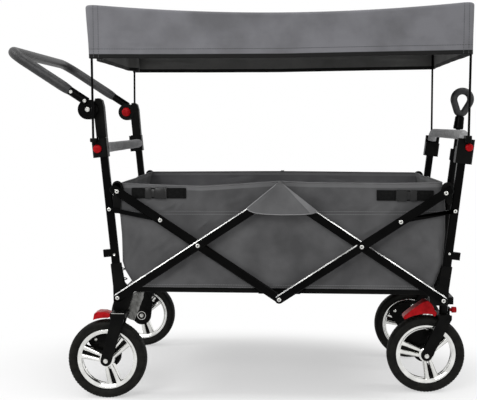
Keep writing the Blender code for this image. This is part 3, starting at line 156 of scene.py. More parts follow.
# The end posts: square steel tube, powder coated black, each with its foot in a moulded nylon corner
# casting. A crossbar joins the two castings of an end; zinc rivets close the holes of the stubs.
carriers = {node: body for body, nodes in frame["record"]["behaviour"]["bodies"].items() for node in nodes}


def finish_named(name, **shader):
    """A material with one Principled shader, its own sockets set, and where its bump and colour go."""
    made = bpy.data.materials.new(name)
    made.use_nodes = True
    made.node_tree.nodes.clear()
    bsdf = add(made.node_tree, "BsdfPrincipled", {name.replace("_", " "): value for name, value in shader.items()})
    add(made.node_tree, "OutputMaterial", {"Surface": bsdf.outputs[0]})
    return made, made.node_tree, bsdf


def tone(code):
    """An sRGB hex colour as linear red, green, blue and a full alpha."""
    parts = np.array([int(code[i:i + 2], 16) for i in (1, 3, 5)]) / 255
    linear = np.where(parts <= 0.04045, parts / 12.92, ((parts + 0.055) / 1.055) ** 2.4)
    return (*linear.tolist(), 1.0)


def grain(tree, millimetres, detail=3.0, stretch=(1, 1, 1), space="Object"):
    """Noise whose cells are about that many millimetres across, longer where stretch is small."""
    where = add(tree, "TexCoord")
    laid = add(tree, "Mapping", {"Vector": where.outputs[space], "Scale": stretch})
    return add(tree, "TexNoise", {"Vector": laid.outputs[0], "Scale": 1000 / millimetres, "Detail": detail})


def tint(tree, bsdf, noise, dark, light, low=0.35, high=0.65):
    """Lets a noise run the base colour between two hex colours."""
    share = add(tree, "MapRange", {"Value": noise.outputs[0], "From Min": low, "From Max": high})
    mixed = add(tree, "Mix", {0: share.outputs[0], 6: tone(dark), 7: tone(light)}, data_type="RGBA")
    tree.links.new(mixed.outputs[2], bsdf.inputs["Base Color"])
    return mixed.outputs[2]


def emboss(tree, bsdf, height, depth_mm, strength=1.0):
    """Puts a height from 0 to 1 on the surface as bumps of that many millimetres."""
    bump = add(tree, "Bump", {"Height": height, "Distance": depth_mm / 1000, "Strength": strength})
    tree.links.new(bump.outputs[0], bsdf.inputs["Normal"])


def plain(name, dark, light, cells, bump_cells=None, bump_mm=0.0, detail=3.0, **shader):
    """A material of one stuff: mottled between two colours over cells of that many millimetres, and
    bumped by a finer noise of its own cells and depth."""
    made, tree, bsdf = finish_named(name, **shader)
    tint(tree, bsdf, grain(tree, cells), dark, light)
    if bump_cells:
        emboss(tree, bsdf, grain(tree, bump_cells, detail).outputs[0], bump_mm)
    return made


# Powder coat on steel: a hard satin black skin with a faint orange peel, about 2 mm from crest to crest
powder_coat = plain("powder_coated_steel", "#040404", "#080808", 60, 2.0, 0.03,
                    Roughness=0.22, IOR=1.5, Specular_IOR_Level=0.03)

# Spark-eroded black nylon: matt and a little lighter, with a fine moulded grain drawn at 1.2 mm to show
moulded_nylon = plain("moulded_black_nylon", "#060606", "#0d0d0c", 40, 1.2, 0.10,
                      Roughness=0.40, IOR=1.52, Specular_IOR_Level=0.05)

# Zinc-plated steel: bright and slightly clouded, as cold-headed rivets are
zinc_plate = plain("zinc_plated_steel", "#b4b4b0", "#e2e2de", 4, Roughness=0.26, Metallic=1.0)


def surface(name, patches, closed=True, smooth=40.0, cloth=None):
    """One mesh from grids of points. Each patch is (points, looped, capped): looped joins its last
    column to its first, capped closes its first and last rows. cloth holds a patch's UV grids."""
    points, faces, laid = [], [], []
    start = 0
    for number, (grid, looped, capped) in enumerate(patches):
        rows, columns = grid.shape[:2]
        index = start + np.arange(rows * columns).reshape(rows, columns)
        wide = np.concatenate([index, index[:, :1]], 1) if looped else index
        corners = [wide[:-1, :-1], wide[:-1, 1:], wide[1:, 1:], wide[1:, :-1]]
        faces += np.stack(corners, -1).reshape(-1, 4).tolist()
        if cloth:
            uv = cloth[number]
            laid.append(np.stack([uv[:-1, :-1], uv[:-1, 1:], uv[1:, 1:], uv[1:, :-1]], 2).reshape(-1, 2))
        if capped:
            faces += [index[0, ::-1].tolist(), index[-1].tolist()]
        points.append(grid.reshape(-1, 3))
        start += rows * columns
    mesh = bpy.data.meshes.new(name)
    mesh.from_pydata(np.concatenate(points), [], faces)
    if cloth:
        layer = mesh.uv_layers.new(name="cloth")
        layer.data.foreach_set("uv", np.concatenate(laid).astype(np.float32).ravel())
    bm = bmesh.new()
    bm.from_mesh(mesh)
    bmesh.ops.remove_doubles(bm, verts=bm.verts, dist=1e-6)
    if closed:
        bmesh.ops.recalc_face_normals(bm, faces=bm.faces)
    bm.to_mesh(mesh)
    bm.free()
    mesh.shade_smooth()
    mesh.set_sharp_from_angle(angle=math.radians(smooth))
    return placed(name, mesh)


def fit(piece, finish, body, slot, *stands_for):
    """Gives a piece its material and its body, and hides the CAD nodes that it stands for; its slot is not used."""
    piece.data.materials.clear()
    piece.data.materials.append(finish)
    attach(piece, body)
    if stands_for:
        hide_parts(*stands_for)
    return piece


SHARP = math.radians(32)


def welded(node):
    """A CAD piece's mesh for editing, its triangles joined into whole faces."""
    bm = bmesh.new()
    bm.from_mesh(frame["nodes"][node].data)
    bmesh.ops.remove_doubles(bm, verts=bm.verts, dist=1e-5)
    bmesh.ops.dissolve_limit(bm, angle_limit=math.radians(1), verts=bm.verts, edges=bm.edges)
    return bm


def finished(node, bm):
    """A new object from an edited copy of a CAD piece, without the normals that it came with."""
    mesh = bpy.data.meshes.new(node + "_finished")
    bm.to_mesh(mesh)
    bm.free()
    if "custom_normal" in mesh.attributes:
        mesh.attributes.remove(mesh.attributes["custom_normal"])
    return placed(node + "_finished", mesh)


def dressed(node, finish, edge, slot):
    """A copy of a CAD piece with its edges rounded."""
    made = finished(node, welded(node))
    made.data.shade_smooth()
    rounding = made.modifiers.new("rounding", "BEVEL")
    rounding.width = edge
    rounding.segments = 3
    rounding.limit_method = "ANGLE"
    rounding.angle_limit = SHARP
    rounding.harden_normals = True
    return fit(made, finish, carriers[node], slot, node)


def turned(profile, centre, axis, steps=24):
    """Points of a profile of (radius, height) turned about an axis through a centre."""
    profile = np.array(profile, float)
    axis = np.array(axis, float) / np.linalg.norm(axis)
    side = np.cross(axis, (0.3, 0.2, 0.9))
    side /= np.linalg.norm(side)
    other = np.cross(axis, side)
    angle = np.linspace(0, 2 * np.pi, steps, endpoint=False)[None, :, None]
    ring = np.cos(angle) * side + np.sin(angle) * other
    return np.array(centre) + profile[:, 1, None, None] * axis + profile[:, 0, None, None] * ring


CASTING_TOP = 0.3425
CLAMP_LOW = 0.5985
HANDS = {"right": -1, "left": 1}
for word in HANDS:
    for end in ("rear", "front"):
        post = dressed(f"{end}_post_{word}", powder_coat, 0.0016, "frame_black")
        post.data.materials.append(moulded_nylon)
        heights = np.array([face.center.z for face in post.data.polygons])
        moulded = (heights < CASTING_TOP) | ((heights > CLAMP_LOW) & (end == "front"))
        post.data.polygons.foreach_set("material_index", moulded.astype(np.int32))
for node in ("rear_lower_crossbar", "front_lower_crossbar"):
    dressed(node, powder_coat, 0.0008, "frame_black")

RIVET = [(0.0, 0.0008), (0.0014, 0.0009), (0.0019, 0.0027), (0.0038, 0.0031), (0.0050, 0.0026), (0.0057, 0.0013),
         (0.0058, -0.0003)]


def rivets(name, body, spots, size=1.0, steps=20):
    """Domed rivet heads with a small dimple; each spot is x, z and the face it closes, as a distance in Y."""
    patches = []
    for x, z, face in spots:
        for side in (-1, 1):
            grid = turned(np.array(RIVET) * (size, 1.0), (x, side * face, z), (0, side, 0), steps)
            patches.append((grid, True, True))
    return fit(surface(name, patches), zinc_plate, body, "rim_silver")


POST_SIDE = 0.270
rivets("rear_stub_rivets", "root", [(MID - 0.4187, 0.3654, POST_SIDE)], 0.62)
rivets("front_stub_rivets", "front_frame", [(MID + 0.4221, 0.3743, POST_SIDE)], 0.62)

# The scissor sides: flat-oval steel bars in two layers, crossed and riveted, with a thin strap from
# each upper bar to its post. All are powder coated like the posts.
joints = {joint["name"]: joint for joint in frame["joints"]}


def pivot(joint):
    """A joint's place in the side view, as x and z."""
    return np.array(joints[joint]["pos_m"])[[0, 2]]


# The thin bright line along a bar's upper edge is a painted highlight: a pale metal on the upper slanting
# bevels that stands in for the light they catch, patchy over some centimetres
painted_highlight_edge = plain("painted_edge_highlight", "#7c7c7c", "#c2c2c0", 30, Roughness=0.34, Metallic=1.0)
LINK_SHARE = 0.267
OUTER_FACE, INNER_FACE, LINK_FACE = 0.2908, 0.2823, 0.2738
top_middle = pivot("fold_front_inner")
low_middle = pivot("fold_floor_centre")
rear_foot = pivot("fold")
front_foot = pivot("fold_front_frame")
rear_cross = pivot("fold_rear_inner")
front_cross = pivot("fold_front_outer")
rear_top = 2 * rear_cross - low_middle
front_top = 2 * front_cross - low_middle
rear_link_end = rear_top + LINK_SHARE * (low_middle - rear_top)
front_link_end = front_top + LINK_SHARE * (low_middle - front_top)
BAR_EDGE, PIN_CLEAR = 0.0026, 0.0095
pins = [low_middle, top_middle, rear_foot, front_foot, rear_cross, front_cross, rear_top, front_top, rear_link_end,
        front_link_end]


def bar_with_painted_highlight(node, bright_end):
    """A bar from the CAD with flat bevels; its upper slanting ones carry the painted highlight as far as bright_end in
    X.
    """
    bm = welded(node)
    bmesh.ops.bisect_plane(bm, geom=[*bm.verts, *bm.edges, *bm.faces], plane_co=(bright_end, 0, 0),
                           plane_no=(1, 0, 0))
    corners = [edge for edge in bm.edges if edge.is_manifold and edge.calc_face_angle(0) > SHARP
               and PIN_CLEAR < min(math.hypot((edge.verts[0].co.x + edge.verts[1].co.x) / 2 - x,
                                              (edge.verts[0].co.z + edge.verts[1].co.z) / 2 - z) for x, z in pins)]
    bmesh.ops.bevel(bm, geom=corners, offset=BAR_EDGE, segments=1, profile=0.5, affect="EDGES", clamp_overlap=False)
    made = fit(finished(node, bm), powder_coat, carriers[node], "frame_black", node)
    mesh = made.data
    mesh.materials.append(painted_highlight_edge)
    normal, middle = np.empty(3 * len(mesh.polygons)), np.empty(3 * len(mesh.polygons))
    mesh.polygons.foreach_get("normal", normal)
    mesh.polygons.foreach_get("center", middle)
    normal, middle = normal.reshape(-1, 3), middle.reshape(-1, 3)
    # The upper slanting bevels, which take the painted highlight as far as bright_end
    upper = (normal[:, 2] > 0.45) & (normal[:, 2] < 0.75) & (np.abs(normal[:, 1]) > 0.5)
    mesh.polygons.foreach_set("material_index", (upper & (middle[:, 0] < bright_end)).astype(np.int32))


for word in HANDS:
    for name, bright_end in (("rear_outer_bar", top_middle[0] + 0.1), ("rear_inner_bar", rear_top[0] - 0.1),
                             ("front_outer_bar", front_cross[0] - 0.012), ("front_inner_bar", front_foot[0] + 0.1)):
        bar_with_painted_highlight(f"{name}_{word}", bright_end)
    for name in ("rear_link", "front_link"):
        dressed(f"{name}_{word}", powder_coat, 0.0007, "frame_black")
rivets("rear_outer_bar_rivets", "rear_outer_bars",
       [(*rear_foot, OUTER_FACE), (*rear_cross, OUTER_FACE), (*top_middle, OUTER_FACE)])
rivets("front_outer_bar_rivets", "front_outer_bars",
       [(*low_middle, OUTER_FACE), (*front_cross, OUTER_FACE), (*front_top, OUTER_FACE),
        (*front_link_end, OUTER_FACE)])
rivets("rear_inner_bar_rivets", "rear_inner_bars", [(*rear_top, INNER_FACE), (*rear_link_end, INNER_FACE)])
rivets("front_inner_bar_rivets", "front_inner_bars", [(*front_foot, INNER_FACE)])
for end in ("rear", "front"):
    post_end = pivot(f"fold_{end}_links")
    rivets(end + "_link_rivets", end + "_links", [(*post_end, LINK_FACE)], 0.92)

# The basket's corner brackets: black nylon keepers between each post and the basket's top corner, with
# a tail down the post. They are riveted to the posts and clip over the basket's rim.
def lobed(spots, count=72):
    """The taut outline round several circles, each x, z and radius: its outermost point in every direction."""
    angle = np.linspace(0, 2 * np.pi, count, endpoint=False)
    normal = np.stack([np.cos(angle), np.sin(angle)], 1)
    spots = np.array(spots)
    reach = normal @ spots[:, :2].T + spots[:, 2]
    pick = reach.argmax(1)
    return spots[pick, :2] + spots[pick, 2:] * normal


def pressed_plate(outline, y_from, y_to, edge=0.0012):
    """A flat plate from an outline in x and z, with its two rims drawn in by a small round edge."""
    middle = outline.mean(0)
    way = outline - middle
    way /= np.linalg.norm(way, axis=1)[:, None]
    levels = ((0.0, edge), (0.35, edge * 0.3), (1.0, 0.0))
    sign = 1 if y_to > y_from else -1
    rows = [(y_from + sign * share * edge, inset) for share, inset in levels]
    rows += [(y_to - sign * share * edge, inset) for share, inset in reversed(levels)]
    grid = [np.insert(outline - way * inset, 1, y, axis=1) for y, inset in rows]
    return np.array(grid)


BRACKET_IN, BRACKET_OUT = 0.2665, 0.2703
BRACKETS = {"rear": [[(-0.4095, 0.5395, 0.0135), (-0.4040, 0.5300, 0.0100)],
                     [(-0.4100, 0.5400, 0.0095), (-0.4125, 0.4800, 0.0095)]],
            "front": [[(0.4150, 0.5380, 0.0145), (0.4080, 0.5300, 0.0100)],
                      [(0.4170, 0.5350, 0.0080), (0.4200, 0.5050, 0.0080)]]}
for end, body in (("rear", "root"), ("front", "front_frame")):
    keepers = []
    for side in (-1, 1):
        for spots in BRACKETS[end]:
            outline = lobed(spots) + (MID, 0)
            keepers.append((pressed_plate(outline, side * BRACKET_IN, side * BRACKET_OUT), True, True))
    fit(surface(end + "_basket_brackets", keepers), moulded_nylon, body, "plastic_black")

# The push handle: a U of round steel tube under a foam sleeve, on two hub discs that lock when their
# red buttons are out. Its legs slide in the rear posts, through a moulded collar on each.
for word in HANDS:
    dressed(f"rear_collar_{word}", moulded_nylon, 0.0020, "plastic_black")
    dressed(f"handle_leg_{word}", moulded_nylon, 0.0016, "plastic_black")

# Closed-cell EVA foam: the charcoal one has a half-gloss skin from the mould, the grey one is cut and
# dead matt; both have small pores drawn at 1.6 mm to show
foam_charcoal = plain("eva_foam_charcoal", "#1d1d1e", "#2e2e2f", 9, 1.6, 0.25,
                      Roughness=0.46, IOR=1.45, Specular_IOR_Level=0.42)
foam_grey = plain("eva_foam_grey", "#8f8f90", "#acacad", 9, 1.6, 0.25,
                  Roughness=0.88, IOR=1.45, Specular_IOR_Level=0.30)
# Gloss ABS in red: a plain bright shell with a faint flow mottle
red_abs = plain("gloss_red_abs", "#8e0a10", "#ac1219", 12, Roughness=0.32, IOR=1.53, Specular_IOR_Level=0.06)


def carried(path, plane, outline, size=None):
    """Points of an outline carried along a flat path: its first number goes across the path within
    the path's plane, its second along the plane's own direction, each times the size there."""
    path, outline, plane = np.array(path, float), np.array(outline, float), np.array(plane, float)
    way = np.gradient(path, axis=0)
    way /= np.linalg.norm(way, axis=1)[:, None]
    plane = plane / np.linalg.norm(plane)
    across = np.cross(plane, way)
    size = np.ones(len(path)) if size is None else np.array(size, float)
    flat = outline[None, :, 0, None] * across[:, None, :] + outline[None, :, 1, None] * plane
    return path[:, None, :] + size[:, None, None] * flat


def circle(radius, steps=20):
    """A ring of points about the origin."""
    angle = np.linspace(0, 2 * np.pi, steps, endpoint=False)
    return radius * np.stack([np.cos(angle), np.sin(angle)], 1)


def bend(centre, radius, first, last, count):
    """Points on an arc in a plane, from one angle in degrees to the other."""
    angle = np.radians(np.linspace(first, last, count))
    return np.stack([centre[0] + radius * np.cos(angle), centre[1] + radius * np.sin(angle)], 1)


def walked(points):
    """How far along a route each of its points lies."""
    return np.concatenate([[0], np.cumsum(np.linalg.norm(np.diff(points, axis=0), axis=1))])


def evenly(points, count):
    """The same route again with points at even steps."""
    points = np.array(points, float)
    run = walked(points)
    at = np.linspace(0, run[-1], count)
    return np.stack([np.interp(at, run, points[:, k]) for k in range(points.shape[1])], 1)


HANDLE_RISE = math.radians(33.0)
HANDLE_REACH, HANDLE_TURN, HANDLE_OUT, HANDLE_LIFT = 0.245, 0.050, 0.286, 0.015
handle_hub = np.array(joints["handle_tilt"]["pos_m"])
handle_way = np.array((-math.cos(HANDLE_RISE), 0, math.sin(HANDLE_RISE)))
handle_up = np.array((math.sin(HANDLE_RISE), 0, math.cos(HANDLE_RISE)))


def handle_route(start, count):
    """The U: along one leg, round both corners and back, s from the hub and y across."""
    turn_s, turn_y = HANDLE_REACH - HANDLE_TURN, HANDLE_OUT - HANDLE_TURN
    flat = np.concatenate([[(start, -HANDLE_OUT)], bend((turn_s, -turn_y), HANDLE_TURN, -90, 0, 16),
                           bend((turn_s, turn_y), HANDLE_TURN, 0, 90, 16), [(start, HANDLE_OUT)]])
    flat = evenly(flat, count)
    return handle_hub + flat[:, :1] * handle_way + HANDLE_LIFT * handle_up + flat[:, 1:] * np.array((0, 1, 0))


def end_eased(count, soft=4):
    """Sizes along a route that ease in at both ends, as a foam sleeve's cut ends do."""
    from_end = np.minimum(np.arange(count), np.arange(count)[::-1])
    return 1 - 0.16 * np.clip(1 - from_end / soft, 0, 1) ** 2


handle_tube = [(carried(handle_route(0.012, 90), handle_up, circle(0.0108)), True, True)]
EYE_IN, EYE_OUT = 0.2749, 0.2899
EYE = [(0.0235, 0.0), (0.0250, 0.0015), (0.0250, 0.0135), (0.0242, 0.0148), (0.0215, 0.0150), (0.0208, 0.0141),
       (0.0150, 0.0139), (0.0143, 0.0149), (0.0105, 0.0150), (0.0098, 0.0137)]
HUB_BOLT = np.array([(0.0058, 0.0), (0.0062, 0.0008), (0.0058, 0.0022), (0.0038, 0.0030), (0.0032, 0.0018)])
for side in (-1, 1):
    centre = (handle_hub[0], side * EYE_IN, handle_hub[2])
    handle_tube.append((turned(EYE, centre, (0, side, 0), 44), True, True))
fit(surface("push_handle_tube", handle_tube), powder_coat, "push_handle", "frame_black", "push_handle")
bolt = []
for side in (-1, 1):
    centre = (handle_hub[0], side * (EYE_OUT - 0.0014), handle_hub[2])
    bolt.append((turned(HUB_BOLT, centre, (0, side, 0), 24), True, True))
    for s in (0.016, 0.057):
        centre = handle_hub + s * handle_way + HANDLE_LIFT * handle_up + (0, side * (HANDLE_OUT + 0.0102), 0)
        bolt.append((turned(HUB_BOLT * (0.75, 1.0), centre, (0, side, 0), 20), True, True))
fit(surface("push_handle_hub_bolts", bolt), zinc_plate, "push_handle", "rim_silver")
sleeve = carried(handle_route(0.063, 150), handle_up, circle(0.0133, 24), end_eased(150))
foam = fit(surface("push_handle_sleeve", [(sleeve, True, True)]), foam_charcoal, "push_handle", "foam_dark",
           "push_handle_foam")


def push_button(node, radius, outwards):
    """A red button in place of its CAD solid: a shallow dome with a stepped rim, facing along Y."""
    low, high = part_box(node)
    near = high.y if outwards > 0 else low.y
    tall = high.y - low.y
    dome = [(radius, 0.0), (radius, 0.62), (radius * 0.93, 0.80), (radius * 0.72, 0.94), (radius * 0.40, 1.0),
            (0.0004, 1.0)]
    centre = ((low.x + high.x) / 2, near - outwards * tall, (low.z + high.z) / 2)
    grid = turned([(r, h * tall) for r, h in dome], centre, (0, outwards, 0), 28)
    fit(surface(node + "_cap", [(grid, True, True)]), red_abs, carriers[node], "red_plastic", node)


for word, side in HANDS.items():
    push_button("hub_button_" + word, 0.0135, -side)
    push_button("collar_button_" + word, 0.0105, side)
    push_button("clamp_button_" + word, 0.0095, side)

# The rear grip: a grey foam roll between the collars, pushed onto a steel rod. The front arch is a
# bent tube in the front clamps with the same foam round its crossbar.
low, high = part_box("rear_grip")
grip_axis = np.array(((low.x + high.x) / 2, 0, (low.z + high.z) / 2))
grip_path = grip_axis + np.linspace(low.y, high.y, 60)[:, None] * np.array((0, 1, 0))
grip_sizes = end_eased(60, 3) * (1 + 0.012 * np.sin(np.linspace(0, 19, 60)))
grip = carried(grip_path, (1, 0, 0), circle(0.0127, 24), grip_sizes)
fit(surface("rear_grip_foam", [(grip, True, True)]), foam_grey, "root", "foam_grey", "rear_grip")

POST_Y, ARCH_TURN, FRONT_LEAN, HALF_SPAN, PIVOT_Z = 0.262, 0.026, 0.116, 0.408, 0.258
ARCH_HEIGHT = 0.669


def arch_route(low_z, count):
    """An upside-down U in the plane of the leaning front posts."""
    corner_y, corner_z = POST_Y - ARCH_TURN, ARCH_HEIGHT - ARCH_TURN
    flat = np.concatenate([[(-POST_Y, low_z)], bend((-corner_y, corner_z), ARCH_TURN, 180, 90, 14),
                           bend((corner_y, corner_z), ARCH_TURN, 90, 0, 14), [(POST_Y, low_z)]])
    flat = evenly(flat, count)
    x = MID + HALF_SPAN + FRONT_LEAN * (flat[:, 1] - PIVOT_Z)
    return np.stack([x, flat[:, 0], flat[:, 1]], 1)


across_arch = np.array((1, 0, -FRONT_LEAN))
arch_tube = carried(arch_route(0.502, 120), across_arch, circle(0.0058))
fit(surface("front_arch_tube", [(arch_tube, True, True)]), powder_coat, "front_frame", "frame_black", "front_arch")
arch_foam = carried(arch_route(0.6505, 110), across_arch, circle(0.0122, 24), end_eased(110, 3))
fit(surface("front_arch_foam", [(arch_foam, True, True)]), foam_grey, "front_frame", "foam_grey")

# The wheels: a foamed rubber tyre with four grooves round its tread, on a chromed nylon rim with three twin
# spokes. Each turns on a bolt between the legs of a moulded fork; the front forks swivel and have a lock.
# A moulded plate on the inner side of each wheel carries its foot brake with a red pedal.
# Tyre rubber: charcoal black, matt, dusty in the tread
tyre_rubber = plain("vulcanised_rubber", "#0d0d0c", "#181815", 14, 1.5, 0.12,
                    Roughness=0.60, IOR=1.5, Specular_IOR_Level=0.10)
# Chrome on nylon: a near-perfect mirror with a trace of ripple from the moulding
chrome_plate = plain("chromed_nylon", "#d2d2cf", "#e8e8e5", 25, 7, 0.35, 1.0, Roughness=0.09, Metallic=1.0)

TYRE_SECTION = np.array([(0.0774, 0.0120), (0.0776, 0.0152), (0.0792, 0.0172), (0.0815, 0.0187), (0.0850, 0.0200),
                         (0.0885, 0.0208), (0.0915, 0.0209), (0.0940, 0.0202), (0.0960, 0.0190), (0.0975, 0.0174),
                         (0.0984, 0.0160), (0.0990, 0.0143), (0.0994, 0.0118), (0.0997, 0.0090), (0.0999, 0.0060),
                         (0.1000, 0.0030), (0.1000, 0.0)])
WHEEL_RADIUS = 0.1
GROOVES_AT, GROOVE_HALF, GROOVE_DEPTH = (0.0052, 0.0118), 0.0011, 0.0014
TREAD_FROM, SHOULDER_OUT, SHOULDER_UP, CUTS_ROUND, CUT_DEPTH = 0.0975, 0.0128, 0.0945, 72, 0.0011
FIRST_SPOKE = 45
RIM_HALF_SECTION = np.array([(0.0655, 0.0), (0.0655, 0.0085), (0.0664, 0.0112), (0.0682, 0.0120), (0.0694, 0.0124),
                             (0.0702, 0.0136), (0.0722, 0.0143), (0.0748, 0.0146), (0.0764, 0.0140),
                             (0.0772, 0.0124), (0.0774, 0.0)])


def tyre_points(x, y, steps=288):
    """The tyre's section turned about the axle, less the grooves round it and the cuts across its shoulders."""
    half = evenly(TYRE_SECTION, 58)
    section = np.concatenate([half, half[-2::-1] * (1, -1)])
    radius, width = section[:, 0], section[:, 1]
    angle = np.linspace(0, 2 * np.pi, steps, endpoint=False)
    tread = np.clip((radius - TREAD_FROM) / 0.0012, 0, 1)
    groove = sum(np.exp(-((np.abs(width) - at) / GROOVE_HALF) ** 2) for at in GROOVES_AT)
    shoulder = np.clip((np.abs(width) - SHOULDER_OUT) / 0.0015, 0, 1) * np.clip((radius - SHOULDER_UP) / 0.002, 0, 1)
    cuts = np.clip(np.sin(angle * CUTS_ROUND) * 3.0 - 1.6, 0, 1)
    lowered = radius[:, None] - GROOVE_DEPTH * (tread * groove)[:, None] - CUT_DEPTH * shoulder[:, None] * cuts
    px = x + lowered * np.cos(angle)
    pz = WHEEL_RADIUS + lowered * np.sin(angle)
    py = np.broadcast_to(y + width[:, None], px.shape)
    return np.stack([px, py, pz], 2)


HUB_HALF = [(0.0190, 0.0120), (0.0185, 0.0170), (0.0170, 0.0184), (0.0140, 0.0190), (0.0136, 0.0212), (0.0125, 0.0222),
            (0.0058, 0.0222)]
SPOKE_FROM, SPOKE_TO = 0.0150, 0.0668


def rim_patches(x, y):
    """The rolled ring, the stepped hub and three pairs of tapering spokes."""
    ring = np.concatenate([RIM_HALF_SECTION, RIM_HALF_SECTION[-2:0:-1] * (1, -1)])
    ring = np.concatenate([ring, ring[:1]])
    hub = [*((radius, -out) for radius, out in reversed(HUB_HALF)), *HUB_HALF]
    hub.append(hub[0])
    centre = np.array((x, y, WHEEL_RADIUS))
    patches = [(turned(ring, centre, (0, 1, 0), 120), True, False), (turned(hub, centre, (0, 1, 0), 60), True, False)]
    share = np.linspace(0, 1, 14)[:, None]
    radius = SPOKE_FROM + (SPOKE_TO - SPOKE_FROM) * share
    half_deep = 0.0176 - 0.0072 * share ** 0.8
    half_wide = 0.0056 + 0.0014 * share + 0.0014 * np.clip((share - 0.82) / 0.18, 0, 1) ** 2
    turn = np.linspace(0, 2 * np.pi, 20, endpoint=False)[None, :]
    across = np.sign(np.cos(turn)) * np.abs(np.cos(turn)) ** 0.6 * half_wide
    deep = np.sign(np.sin(turn)) * np.abs(np.sin(turn)) ** 0.75 * half_deep
    for spoke in range(3):
        middle = math.radians(FIRST_SPOKE + 120 * spoke)
        way = np.array((math.cos(middle), 0, math.sin(middle)))
        beside = np.array((-math.sin(middle), 0, math.cos(middle)))
        for side in (-1, 1):
            off = side * (0.0066 + 0.0048 * share) + across
            grid = centre + radius[..., None] * way + off[..., None] * beside + deep[..., None] * np.array((0, 1, 0))
            patches.append((grid, True, True))
    return patches


def slot_fillers(x, y):
    """The dark webs that close the slot between the two arms of each spoke."""
    patches = []
    for spoke in range(3):
        middle = math.radians(FIRST_SPOKE + 120 * spoke)
        way = np.array((math.cos(middle), math.sin(middle)))
        spots = [(*(np.array((x, WHEEL_RADIUS)) + way * reach), size)
                 for reach, size in ((0.0300, 0.0014), (0.0640, 0.0048))]
        patches.append((pressed_plate(lobed(spots, 40), y - 0.0060, y + 0.0060, 0.0006), True, True))
    return patches


BRAKE_LOBES = {"rear": [(0.0, 0.0, 0.0290), (-0.0370, 0.0420, 0.0200), (0.0040, 0.0600, 0.0150),
                        (0.020, 0.040, 0.014)],
               "front": [(0.0, 0.0, 0.0290), (-0.0430, 0.0420, 0.0160), (0.0080, 0.0600, 0.0150),
                         (0.024, 0.040, 0.016)]}
# Profiles of the bright parts, each of radius and height, and how far from the wheel's middle the nuts
# and the brake's plate lie
AXLE_NUT = [(0.0062, 0.0), (0.0065, 0.0010), (0.0055, 0.0026), (0.0030, 0.0030)]
DRUM_RING = [(0.0112, 0.0030), (0.0116, 0.0040), (0.0134, 0.0040), (0.0138, 0.0030), (0.0112, 0.0030)]
BOLT_HEAD = [(0.0042, 0.0), (0.0044, 0.0006), (0.0034, 0.0016), (0.0012, 0.0020)]
NUT_FACE, PLATE_NEAR, PLATE_FAR = 0.0328, 0.0236, 0.0318
BRAKE_BOLTS = {"rear": [(-0.0360, 0.0420), (0.0010, 0.0600)], "front": [(-0.0430, 0.0440), (0.0080, 0.0600)]}
for end in ("rear", "front"):
    for word, side in HANDS.items():
        axle = joints[f"{end}_wheel_spin_{word}"]["pos_m"]
        wheel, carrier = f"{end}_wheel_{word}", "root" if end == "rear" else f"caster_{word}"
        tyre = surface(f"{end}_tyre_ribbed_{word}", [(tyre_points(axle[0], axle[1]), True, False)], closed=False,
                       smooth=60)
        fit(tyre, tyre_rubber, wheel, "tyre_rubber", f"{end}_tyre_{word}")
        fit(surface(f"{end}_rim_spoked_{word}", rim_patches(axle[0], axle[1])), chrome_plate, wheel, "rim_silver",
            f"{end}_rim_{word}")
        fit(surface(f"{end}_rim_webs_{word}", slot_fillers(axle[0], axle[1])), moulded_nylon, wheel, "plastic_black")
        fork_node = f"rear_fork_{word}" if end == "rear" else f"caster_fork_{word}"
        dressed(fork_node, moulded_nylon, 0.0016, "plastic_black")
        if end == "rear":
            # A bright steel plate on the fork's seat
            low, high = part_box(fork_node)
            seat = lobed([(MID - 0.405 + px, axle[1] + side * py, 0.0015) for px in (-0.0160, 0.0160)
                          for py in (0.0260, 0.0290)], 48)
            seat_plate = np.array([np.insert(seat, 2, z, axis=1) for z in (high.z - 0.0014, high.z - 0.0002)])
            fit(surface(f"rear_fork_seat_plate_{word}", [(seat_plate, True, True)]), zinc_plate, "root", "rim_silver")
        inner = -side
        outline = lobed(BRAKE_LOBES[end]) + (axle[0], WHEEL_RADIUS)
        drum = turned([(0.0215, 0.0), (0.0225, 0.0012), (0.0215, 0.0024)],
                      (axle[0], axle[1] + inner * 0.0310, WHEEL_RADIUS), (0, inner, 0), 40)
        plate = pressed_plate(outline, axle[1] + inner * PLATE_NEAR, axle[1] + inner * PLATE_FAR)
        plate_patches = [(plate, True, True), (drum, True, True)]
        fit(surface(f"{end}_brake_plate_{word}", plate_patches), moulded_nylon, carrier, "plastic_black")
        bright = [(turned(AXLE_NUT, (axle[0], axle[1] + way * NUT_FACE, WHEEL_RADIUS), (0, way, 0), 24), True, True)
                  for way in (side, inner)]
        bright.append((turned(DRUM_RING, (axle[0], axle[1] + inner * 0.0304, WHEEL_RADIUS), (0, inner, 0), 40),
                       True, False))
        for px, pz in BRAKE_BOLTS[end]:
            for way, reach in ((-inner, 0.0238), (inner, 0.0314)):
                spot = (axle[0] + px, axle[1] + inner * reach, WHEEL_RADIUS + pz)
                bright.append((turned(BOLT_HEAD, spot, (0, way, 0), 16), True, True))
        fit(surface(f"{end}_wheel_bolts_{word}", bright), zinc_plate, carrier, "rim_silver")
        dressed(f"{end}_brake_pedal_{word}", red_abs, 0.0055 if end == "rear" else 0.0040, "red_plastic")
for word in HANDS:
    dressed(f"swivel_lock_{word}", red_abs, 0.0010, "red_plastic")

